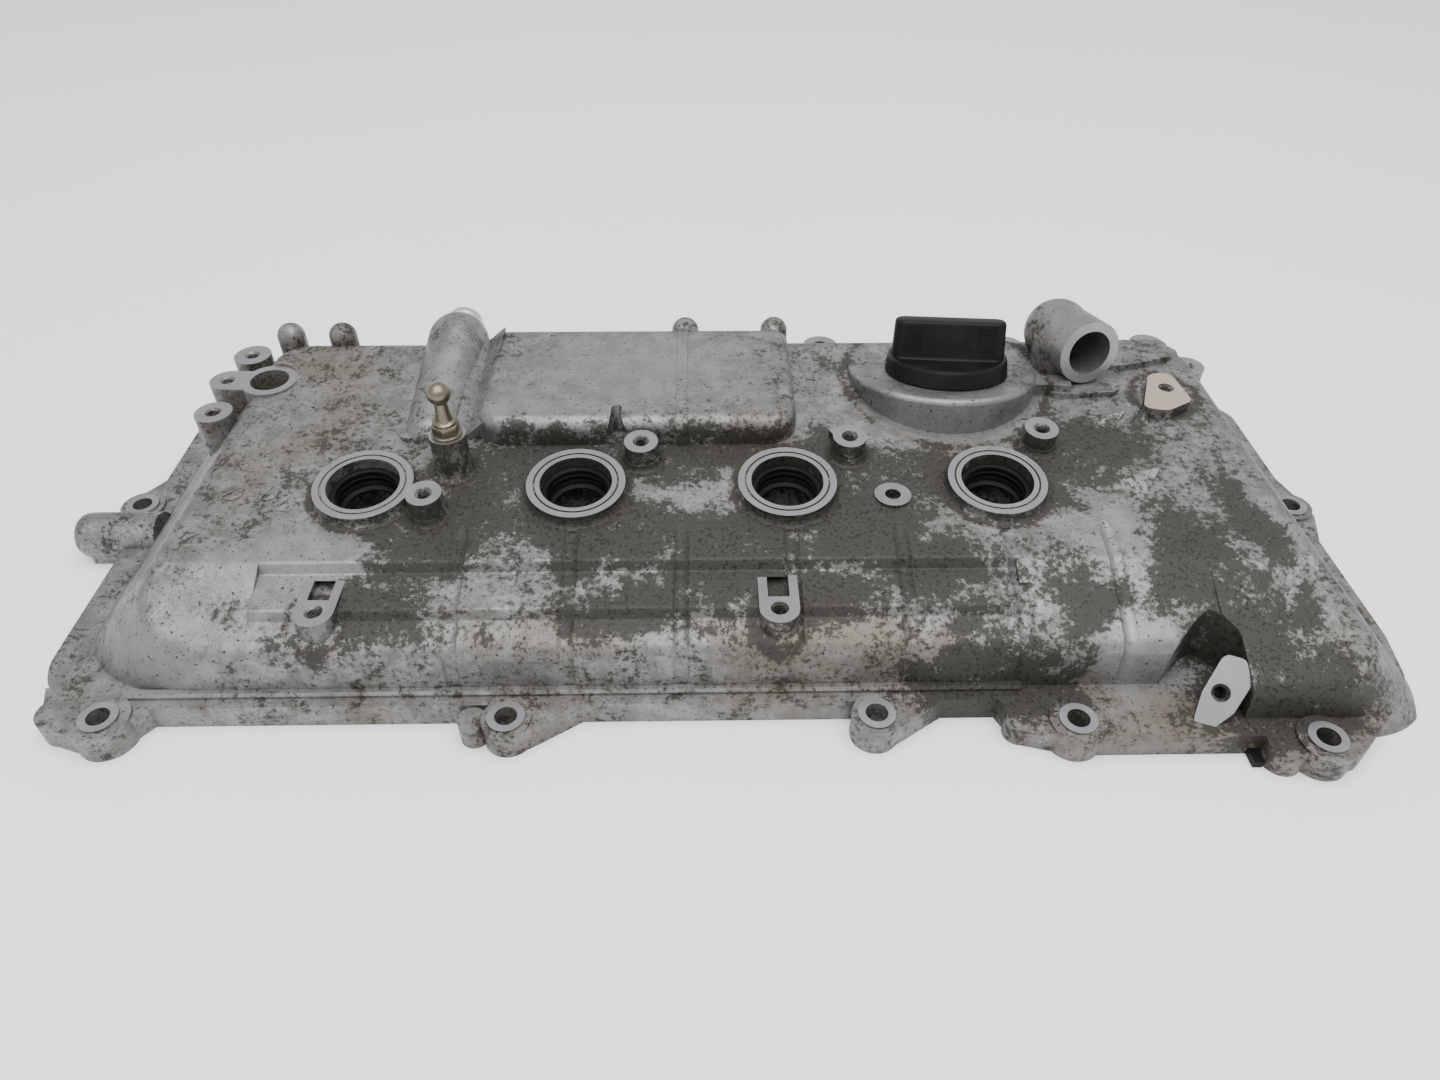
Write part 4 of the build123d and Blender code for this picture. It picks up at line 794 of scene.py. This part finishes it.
class Bench:
    """Hand tools that every sub-assembly uses to shape its meshes."""

    @staticmethod
    def clear() -> None:
        """Deselects everything."""
        bpy.ops.object.select_all(action="DESELECT")

    @classmethod
    def point(cls, name: str) -> bpy.types.Object:
        """Returns a mesh of one selected point at the origin, in edit mode."""
        cls.clear()
        bpy.ops.mesh.primitive_plane_add(size=MM, location=(0, 0, 0))
        piece = bpy.context.object
        piece.name = name
        bpy.ops.object.mode_set(mode="EDIT")
        bpy.ops.mesh.select_mode(type="VERT")
        bpy.ops.mesh.select_all(action="SELECT")
        bpy.ops.mesh.merge(type="CENTER")
        return piece

    @staticmethod
    def draw(step: Triple) -> None:
        """Extrudes what is selected by a step in millimetres."""
        move = {"value": tuple(length * MM for length in step)}
        bpy.ops.mesh.extrude_region_move(TRANSFORM_OT_translate=move)

    @classmethod
    def turned(cls, name: str, profile: Profile, steps: int = 72) -> bpy.types.Object:
        """Turns a closed or axis-to-axis profile round the upright axis.

        Args:
            name: name of the new object.
            profile: radius and height of every corner, in millimetres.
            steps: number of divisions round the axis.

        Returns:
            The turned object, at the origin.
        """
        piece = cls.point(name)
        radius, height = profile[0]
        bpy.ops.transform.translate(value=(radius * MM, 0, height * MM))
        for next_radius, next_height in profile[1:]:
            cls.draw((next_radius - radius, 0, next_height - height))
            radius, height = next_radius, next_height
        bpy.ops.mesh.select_all(action="SELECT")
        bpy.ops.mesh.spin(steps=steps, angle=2 * math.pi, center=(0, 0, 0), axis=(0, 0, 1))
        cls.seal()
        bpy.ops.object.mode_set(mode="OBJECT")
        return piece

    @staticmethod
    def seal() -> None:
        """Merges doubles and turns the faces of the edited mesh outwards."""
        bpy.ops.mesh.select_all(action="SELECT")
        bpy.ops.mesh.remove_doubles(threshold=SAME)
        bpy.ops.mesh.normals_make_consistent(inside=False)

    @classmethod
    def block(cls, name: str, size: Triple, bevel: float, segments: int = 2) -> bpy.types.Object:
        """Makes a block with rounded edges.

        Args:
            name: name of the new object.
            size: length, width and height in millimetres.
            bevel: width of the rounding in millimetres.
            segments: number of faces across the rounding.

        Returns:
            The block, at the origin.
        """
        cls.clear()
        bpy.ops.mesh.primitive_cube_add(size=MM, location=(0, 0, 0))
        piece = bpy.context.object
        piece.name = name
        bpy.ops.object.mode_set(mode="EDIT")
        bpy.ops.mesh.select_all(action="SELECT")
        bpy.ops.transform.resize(value=size)
        bpy.ops.mesh.bevel(offset=bevel * MM, segments=segments, affect="EDGES")
        bpy.ops.object.mode_set(mode="OBJECT")
        return piece

    @classmethod
    def only(cls, piece: bpy.types.Object) -> None:
        """Selects one object and makes it the active one."""
        cls.clear()
        piece.select_set(True)
        bpy.context.view_layer.objects.active = piece

    @classmethod
    def copy(cls, piece: bpy.types.Object, name: str) -> bpy.types.Object:
        """Returns a copy with its own mesh."""
        cls.only(piece)
        bpy.ops.object.duplicate(linked=False)
        twin = bpy.context.object
        twin.name = name
        return twin

    @classmethod
    def join(cls, pieces: list[bpy.types.Object]) -> bpy.types.Object:
        """Joins pieces into the first of them and returns it."""
        cls.clear()
        for piece in pieces:
            piece.select_set(True)
        bpy.context.view_layer.objects.active = pieces[0]
        bpy.ops.object.join()
        return bpy.context.object

    @classmethod
    def put(cls, piece: bpy.types.Object, place: Triple, turn: Matrix) -> None:
        """Turns and moves a piece, and writes its place into its mesh.

        Args:
            piece: the object to place.
            place: its new origin in millimetres.
            turn: rotation matrix of four rows.
        """
        piece.matrix_world = Matrix.Translation(Vector(place) * MM) @ turn
        cls.only(piece)
        bpy.ops.object.transform_apply(location=True, rotation=True, scale=True)

    @classmethod
    def smooth(cls, piece: bpy.types.Object, degrees: float = 35.0) -> None:
        """Shades a piece smooth up to an angle."""
        cls.only(piece)
        bpy.ops.object.shade_smooth_by_angle(angle=math.radians(degrees))


def upright(normal: Triple) -> Matrix:
    """Returns the turn that brings the upright axis to a direction."""
    return Vector(normal).to_track_quat("Z", "Y").to_matrix().to_4x4()


@dataclass
class Piece:
    """What every added piece shares: body, slot and finish."""

    body: Body
    slot: Slot
    finish: bpy.types.Material

    def dress(self, piece: bpy.types.Object, nodes: tuple[str, ...] = ()) -> None:
        """Gives a piece its finish and body, and hides the nodes that it stands for.

        Args:
            piece: the finished object.
            nodes: names of the nodes that it stands for.
        """
        piece.data.materials.clear()
        piece.data.materials.append(self.finish)
        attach(piece, self.body.value)
        if nodes:
            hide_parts(*nodes)
        LOG.info("%s: %d faces", piece.name, len(piece.data.polygons))


@dataclass
class FillerCap(Piece):
    """Oil filler cap: dished skirt, plug and a ribbed grip bar."""

    skirt: Profile = (
        (0.0, 7.0), (21.5, 7.1), (23.2, 7.35), (24.2, 7.9), (24.9, 8.3), (25.7, 8.4),
        (26.5, 8.15), (27.0, 7.5), (27.2, 6.7), (27.75, 1.7), (27.95, 0.9), (27.7, 0.45),
        (27.2, 0.3), (24.95, 0.3), (24.95, 2.6), (18.7, 2.6), (18.7, -11.4), (17.9, -12.4),
        (15.5, -12.4), (15.5, 2.6), (0.0, 2.6),
    )
    grip_length: float = 51.0
    grip_width: float = 11.4
    grip_foot: float = 6.6
    grip_top: float = 24.4
    grip_turn: float = math.radians(-8.0)
    grip_corner: float = 4.9
    grip_edge: float = 1.5
    grip_draft: Triple = (0.972, 0.86, 1.0)
    flares: Profile = ((0.8, 1.012), (0.6, 1.02), (0.4, 1.03))
    flare_widening: float = 4.0
    rib: Triple = (8.5, 0.9, 0.5)
    rib_bevel: float = 0.12
    rib_sink: float = 0.22
    rib_lean: float = 0.8
    rib_pitch: float = 1.15
    rib_count: int = 10
    rib_first: float = 11.4
    rib_reach: float = 16.4

    def grip(self) -> bpy.types.Object:
        """Returns the grip bar with round ends and a flared foot."""
        low = self.grip_foot + sum(drop for drop, _ in self.flares)
        Bench.clear()
        bpy.ops.mesh.primitive_cube_add(size=MM, location=(0, 0, 0))
        bar = bpy.context.object
        bar.name = "grip_bar"
        bpy.ops.object.mode_set(mode="EDIT")
        bpy.ops.mesh.select_all(action="SELECT")
        bpy.ops.transform.resize(value=(self.grip_length, self.grip_width, self.grip_top - low))
        bpy.ops.transform.translate(value=(0, 0, (self.grip_top + low) / 2 * MM))
        self.pick(bar, "EDGE", lambda a, b: abs(a.x - b.x) < SAME and abs(a.y - b.y) < SAME)
        bpy.ops.mesh.bevel(offset=self.grip_corner * MM, segments=7, affect="EDGES")
        self.pick(bar, "FACE", lambda centre, normal: normal.z > STEEP)
        bpy.ops.transform.resize(value=self.grip_draft)
        foot = low * MM + SAME
        self.pick(bar, "FACE", lambda centre, normal: normal.z < -STEEP and centre.z < foot)
        for drop, spread in self.flares:
            Bench.draw((0, 0, -drop))
            widening = 1.0 + (spread - 1.0) * self.flare_widening
            bpy.ops.transform.resize(value=(spread, widening, 1.0))
        top = self.grip_top * MM - SAME
        self.pick(bar, "EDGE", lambda a, b: a.z > top and b.z > top)
        bpy.ops.mesh.bevel(offset=self.grip_edge * MM, segments=4, affect="EDGES")
        Bench.seal()
        bpy.ops.object.mode_set(mode="OBJECT")
        return bar

    @staticmethod
    def pick(
        piece: bpy.types.Object, kind: str, wanted: Callable[[Vector, Vector], bool]
    ) -> None:
        """Selects the edges or faces that pass a test.

        Args:
            piece: the object in edit mode.
            kind: EDGE or FACE.
            wanted: test on two ends, or on centre and normal.
        """
        bpy.ops.mesh.select_mode(type=kind)
        bpy.ops.mesh.select_all(action="DESELECT")
        bpy.ops.object.mode_set(mode="OBJECT")
        mesh = piece.data
        if kind == "EDGE":
            for edge in mesh.edges:
                ends = [mesh.vertices[i].co for i in edge.vertices]
                edge.select = bool(wanted(*ends))
        else:
            for face in mesh.polygons:
                face.select = bool(wanted(face.center, face.normal))
        bpy.ops.object.mode_set(mode="EDIT")

    def ribs(self) -> list[bpy.types.Object]:
        """Returns the fine grip ribs near both ends of the bar."""
        first = Bench.block("grip_rib", self.rib, self.rib_bevel)
        ribs = []
        taper = self.rib_lean / (self.grip_top - self.grip_foot)
        for row in range(self.rib_count):
            height = self.rib_first + row * self.rib_pitch
            face = self.grip_width / 2 - (height - self.grip_foot) * taper
            for side in (-1, 1):
                for end in (-1, 1):
                    rib = Bench.copy(first, f"grip_rib_{row}_{side}_{end}")
                    place = (end * self.rib_reach, side * (face - self.rib_sink), height)
                    Bench.put(rib, place, Matrix.Identity(4))
                    ribs.append(rib)
        bpy.data.objects.remove(first)
        return ribs

    def build(self) -> None:
        """Builds the cap and places it on its seat."""
        cap = Bench.turned("filler_cap_body", self.skirt, 96)
        bar = Bench.join([self.grip(), *self.ribs()])
        Bench.put(bar, (0, 0, 0), Matrix.Rotation(self.grip_turn, 4, "Z"))
        cap = Bench.join([cap, bar])
        Bench.put(cap, CAP_SEAT, Matrix.Rotation(-CAP_TILT, 4, "X"))
        Bench.smooth(cap, 32.0)
        self.dress(cap, ("oil_filler_cap",))


@dataclass
class BallStud(Piece):
    """Ball stud: thread, washer face, hexagon, neck and ball."""

    seat: float = 70.0
    shank: Profile = (
        (0.0, -10.0), (1.9, -10.0), (2.5, -9.3), (2.5, 0.0), (6.1, 0.0), (6.35, 0.3),
        (6.35, 1.0), (6.0, 1.4), (5.0, 1.6), (4.2, 5.6), (4.9, 5.8), (4.9, 6.6), (4.5, 7.0),
        (3.5, 7.4), (3.0, 10.0),
    )
    ball_height: float = 19.6
    ball_radius: float = 4.8
    ball_steps: int = 14
    neck_radius: float = 2.5
    hex_radius: float = 5.9
    hex_height: float = 4.2
    hex_middle: float = 3.6
    hex_bevel: float = 0.35

    def profile(self) -> Profile:
        """Returns the outline from the end of the thread to the top of the ball."""
        sweep = math.pi - math.asin(self.neck_radius / self.ball_radius)
        ball = []
        for step in range(self.ball_steps):
            angle = sweep * (1.0 - step / self.ball_steps)
            away = self.ball_radius * math.sin(angle)
            ball.append((away, self.ball_height + self.ball_radius * math.cos(angle)))
        ball.append((0.0, self.ball_height + self.ball_radius))
        return (*self.shank, *ball)

    def hexagon(self) -> bpy.types.Object:
        """Returns the spanner hexagon with its chamfered corners."""
        Bench.clear()
        bpy.ops.mesh.primitive_cylinder_add(
            vertices=6,
            radius=self.hex_radius * MM,
            depth=self.hex_height * MM,
            location=(0, 0, 0),
        )
        nut = bpy.context.object
        nut.name = "stud_hexagon"
        bpy.ops.object.mode_set(mode="EDIT")
        bpy.ops.mesh.select_all(action="SELECT")
        bpy.ops.mesh.bevel(offset=self.hex_bevel * MM, segments=2, affect="EDGES")
        bpy.ops.transform.translate(value=(0, 0, self.hex_middle * MM))
        bpy.ops.object.mode_set(mode="OBJECT")
        return nut

    def build(self) -> None:
        """Builds the stud and places it on its boss."""
        stud = Bench.join([Bench.turned("cover_ball_stud", self.profile(), 48), self.hexagon()])
        Bench.put(stud, (*STUD_PLACE, self.seat), Matrix.Identity(4))
        Bench.smooth(stud, 30.0)
        self.dress(stud, ("ball_stud",))


@dataclass
class VentUnion(Piece):
    """Breather pipe with its rolled bead."""

    profile: Profile = (
        (7.6, 98.35), (8.9, 98.35), (8.9, 111.6), (9.1, 112.4), (9.5, 113.2), (9.7, 114.0),
        (9.6, 114.8), (9.2, 115.5), (8.9, 116.1), (8.9, 117.4), (8.7, 118.0), (8.2, 118.35),
        (7.9, 118.3), (7.6, 117.9), (7.6, 98.35),
    )

    def build(self) -> None:
        """Builds the pipe and places it in the hump."""
        pipe = Bench.turned("breather_union", self.profile, 64)
        along, height = VENT_AXIS
        Bench.put(pipe, (along, 0.0, height), Matrix.Rotation(-math.pi / 2, 4, "X"))
        Bench.smooth(pipe)
        self.dress(pipe, ("vent_pipe",))


@dataclass
class WellSeals(Piece):
    """The four ridged rubber seals in the plug wells."""

    profile: Profile = (
        (14.95, -5.2), (14.5, -4.65), (13.2, -4.65), (12.6, -5.1), (12.4, -6.2), (12.9, -6.9),
        (12.9, -7.5), (12.4, -8.2), (12.4, -9.2), (12.9, -9.9), (12.9, -10.5), (12.4, -11.2),
        (12.2, -12.6), (11.2, -13.0), (10.55, -13.5), (10.5, -14.3), (11.2, -15.0),
        (12.5, -15.5), (14.95, -15.5), (14.95, -5.2),
    )

    def build(self) -> None:
        """Builds one seal and copies it to every well."""
        first = Bench.turned("well_seal", self.profile, 64)
        for number, along in enumerate(PLUG_XS, start=1):
            seal = Bench.copy(first, f"well_seal_{number}")
            Bench.put(seal, (along, PLUG_Y, RING_HEIGHT), upright(PLUG_NORMAL))
            Bench.smooth(seal)
            self.dress(seal, (f"plug_tube_seal_{number}",))
        bpy.data.objects.remove(first)


@dataclass
class TappedThreads(Piece):
    """Thread ridges in every tapped hole."""

    root: float = 2.58
    crest: float = 2.28
    pitch: float = 1.0
    flank_share: float = 0.47
    turns: int = 10
    steps: int = 20
    start: float = 11.3

    def first(self) -> bpy.types.Object:
        """Returns one winding thread ridge, below the origin."""
        ridge = Bench.point("thread_ridge")
        depth = self.root - self.crest
        flank = self.pitch * self.flank_share
        bpy.ops.transform.translate(value=(self.root * MM, 0, -self.start * MM))
        Bench.draw((-depth, 0, flank))
        Bench.draw((depth, 0, flank))
        bpy.ops.mesh.select_all(action="SELECT")
        bpy.ops.mesh.edge_face_add()
        bpy.ops.mesh.delete(type="ONLY_FACE")
        bpy.ops.object.mode_set(mode="OBJECT")
        winding = ridge.modifiers.new("winding", "SCREW")
        winding.steps = self.steps
        winding.render_steps = self.steps
        winding.screw_offset = self.pitch * MM
        winding.iterations = self.turns
        winding.axis = "Z"
        bpy.ops.object.modifier_apply(modifier=winding.name)
        bpy.ops.object.mode_set(mode="EDIT")
        bpy.ops.mesh.select_all(action="SELECT")
        bpy.ops.mesh.fill_holes(sides=3)
        Bench.seal()
        bpy.ops.object.mode_set(mode="OBJECT")
        return ridge

    def build(self) -> None:
        """Copies the thread into every hole."""
        first = self.first()
        places = [(spot, PLUG_NORMAL) for spot in COIL_BOSSES]
        places += [(spot, UP) for spot in UPRIGHT_HOLES]
        places.append((BRACKET_HOLE, BRACKET_NORMAL))
        for number, (spot, normal) in enumerate(places, start=1):
            thread = Bench.copy(first, f"tapped_thread_{number}")
            Bench.put(thread, spot, upright(normal))
            self.dress(thread)
        bpy.data.objects.remove(first)


@dataclass
class SlottedMarks(Piece):
    """Two slotted discs cast on the deck."""

    # Place along and across the deck, and the slot's turn in degrees.
    places: tuple[Triple, ...] = (
        (-196.5, -7.5, 40.0),
        (-181.7, -7.7, 65.0),
    )
    radius: float = 4.3
    height: float = 0.5
    slot_half: float = 0.7
    rounding: float = 0.15

    def half(self) -> bpy.types.Object:
        """Returns one half of a slotted disc."""
        Bench.clear()
        bpy.ops.mesh.primitive_cylinder_add(
            vertices=40,
            radius=self.radius * MM,
            depth=self.height * 2 * MM,
            location=(0, 0, 0),
        )
        disc = bpy.context.object
        disc.name = "disc_half"
        bpy.ops.object.mode_set(mode="EDIT")
        bpy.ops.mesh.select_all(action="SELECT")
        bpy.ops.mesh.bisect(
            plane_co=(0, self.slot_half * MM, 0),
            plane_no=(0, 1, 0),
            use_fill=True,
            clear_inner=True,
        )
        bpy.ops.mesh.select_all(action="SELECT")
        bpy.ops.mesh.bevel(offset=self.rounding * MM, segments=2, affect="EDGES")
        Bench.seal()
        bpy.ops.object.mode_set(mode="OBJECT")
        return disc

    def build(self) -> None:
        """Builds one disc and copies it to both places."""
        half = self.half()
        other = Bench.copy(half, "disc_other_half")
        Bench.put(other, (0, 0, 0), Matrix.Rotation(math.pi, 4, "Z"))
        disc = Bench.join([half, other])
        for number, (along, across, turn) in enumerate(self.places, start=1):
            mark = Bench.copy(disc, f"slotted_mark_{number}")
            height = DECK_HEIGHT + (across - PLUG_Y) * math.tan(PLUG_TILT)
            aim = upright(PLUG_NORMAL) @ Matrix.Rotation(math.radians(turn), 4, "Z")
            Bench.put(mark, (along, across, height), aim)
            Bench.smooth(mark)
            self.dress(mark)
        bpy.data.objects.remove(disc)


@dataclass(frozen=True)
class Panel:
    """A square light: place, aim and size in metres, and power in watts."""

    name: str
    place: Triple
    aim: Triple
    size: float
    power: float

    def build(self) -> None:
        """Hangs the light."""
        bpy.ops.object.light_add(type="AREA", location=self.place)
        panel = bpy.context.object
        panel.name = self.name
        panel.data.shape = "SQUARE"
        panel.data.size = self.size
        panel.data.energy = self.power
        way = Vector(self.aim) - Vector(self.place)
        panel.rotation_euler = way.to_track_quat("-Z", "Y").to_euler()


@dataclass
class Studio:
    """Camera, pale floor and soft light."""

    eye: Triple = (-1.33011347, -333.630579, 311.145098)
    turn: float = -0.0207555625
    pitch: float = 0.724978787
    roll: float = -0.00512024495
    lens: float = 25.0
    sensor: float = 36.0
    clip: Levels = (0.01, 50.0)
    floor_size: float = 6.0
    floor_colour: Colour = (0.97, 0.975, 0.98, 1.0)
    floor_shade: float = 0.95
    floor_weave: Triple = (0.004, 4.0, 0.5)
    floor_roughness: float = 0.5
    sky_colour: Colour = (0.93, 0.96, 1.0, 1.0)
    sky_strength: float = 1.0
    panels: tuple[Panel, ...] = (
        Panel("overhead_panel", (0.1, -0.25, 1.6), (0.0, 0.0, 0.0), 1.6, 38.0),
        Panel("front_panel", (-0.7, -1.0, 1.3), (0.0, 0.0, 0.0), 1.2, 5.0),
    )

    def build(self) -> None:
        """Adds everything that isn't the cover."""
        self.camera()
        self.floor()
        self.lights()
        LOG.info("studio set")

    def camera(self) -> None:
        """Adds the camera at the working view."""
        bpy.ops.object.camera_add()
        view = bpy.context.object
        view.name = "working_view"
        view.data.lens = self.lens
        view.data.sensor_width = self.sensor
        view.data.sensor_fit = "HORIZONTAL"
        view.data.clip_start, view.data.clip_end = self.clip
        aim = (
            Matrix.Rotation(self.turn, 4, "Z")
            @ Matrix.Rotation(math.pi / 2 - self.pitch, 4, "X")
            @ Matrix.Rotation(-self.roll, 4, "Z")
        )
        view.matrix_world = Matrix.Translation(Vector(self.eye) * MM) @ aim
        bpy.context.scene.camera = view

    def floor(self) -> None:
        """Adds the pale table that the cover stands on."""
        Bench.clear()
        bpy.ops.mesh.primitive_plane_add(size=self.floor_size, location=(0, 0, 0))
        table = bpy.context.object
        table.name = "table"
        paint = bpy.data.materials.new("table_paint")
        paint.use_nodes = True
        graph = Graph(paint.node_tree)
        shader = paint.node_tree.nodes["Principled BSDF"]
        cloud = graph.noise(graph.millimetres(), self.floor_weave)
        red, green, blue, solid = self.floor_colour
        shaded = (*(channel * self.floor_shade for channel in (red, green, blue)), solid)
        graph.feed(shader, "Base Color", graph.mix(cloud, self.floor_colour, shaded))
        graph.feed(shader, "Roughness", self.floor_roughness)
        table.data.materials.append(paint)

    def lights(self) -> None:
        """Adds the even surround and the soft panels."""
        world = bpy.data.worlds.new("surround")
        world.use_nodes = True
        sky = world.node_tree.nodes["Background"]
        sky.inputs["Color"].default_value = self.sky_colour
        sky.inputs["Strength"].default_value = self.sky_strength
        bpy.context.scene.world = world
        for panel in self.panels:
            panel.build()


@dataclass
class Dressing:
    """The finishes of the nodes that stay as packed."""

    finishes: dict[Slot, bpy.types.Material]

    def build(self) -> None:
        """Gives every node the finish of its slot."""
        slots = {part["node"]: part["material_slot"] for part in frame["record"]["subparts"]}
        for name, node in frame["nodes"].items():
            node.data.materials.clear()
            node.data.materials.append(self.finishes[Slot(slots[name])])
            LOG.info("%s: %s", name, slots[name])


def main() -> None:
    logging.basicConfig(level=logging.INFO, format="%(message)s")
    Studio().build()
    looks = {
        Slot.CAST: CastSkin("cast_aluminium"),
        Slot.RUBBER: Moulding("black_rubber", rough_levels=(0.45, 0.7)),
        Slot.PLASTIC: Moulding(
            "black_nylon",
            rough_levels=(0.40, 0.58),
            grain_weave=(3.0, 3.0, 0.6),
            grain_depth=0.03,
        ),
        Slot.ZINC: Plating("zinc_plate"),
        Slot.OLIVE: Plating(
            "olive_zinc", colour=(0.20, 0.175, 0.125, 1.0), stain=(0.07, 0.06, 0.045, 1.0)
        ),
        Slot.SHEET: Plating("sheet_aluminium", colour=(0.58, 0.58, 0.57, 1.0)),
    }
    finishes = {slot: look.build() for slot, look in looks.items()}
    Dressing(finishes).build()
    FillerCap(Body.CAP, Slot.PLASTIC, finishes[Slot.PLASTIC]).build()
    BallStud(Body.COVER, Slot.OLIVE, finishes[Slot.OLIVE]).build()
    VentUnion(Body.COVER, Slot.ZINC, finishes[Slot.ZINC]).build()
    WellSeals(Body.COVER, Slot.RUBBER, finishes[Slot.RUBBER]).build()
    TappedThreads(Body.COVER, Slot.CAST, finishes[Slot.CAST]).build()
    SlottedMarks(Body.COVER, Slot.CAST, finishes[Slot.CAST]).build()


if __name__ == "__main__":
    main()
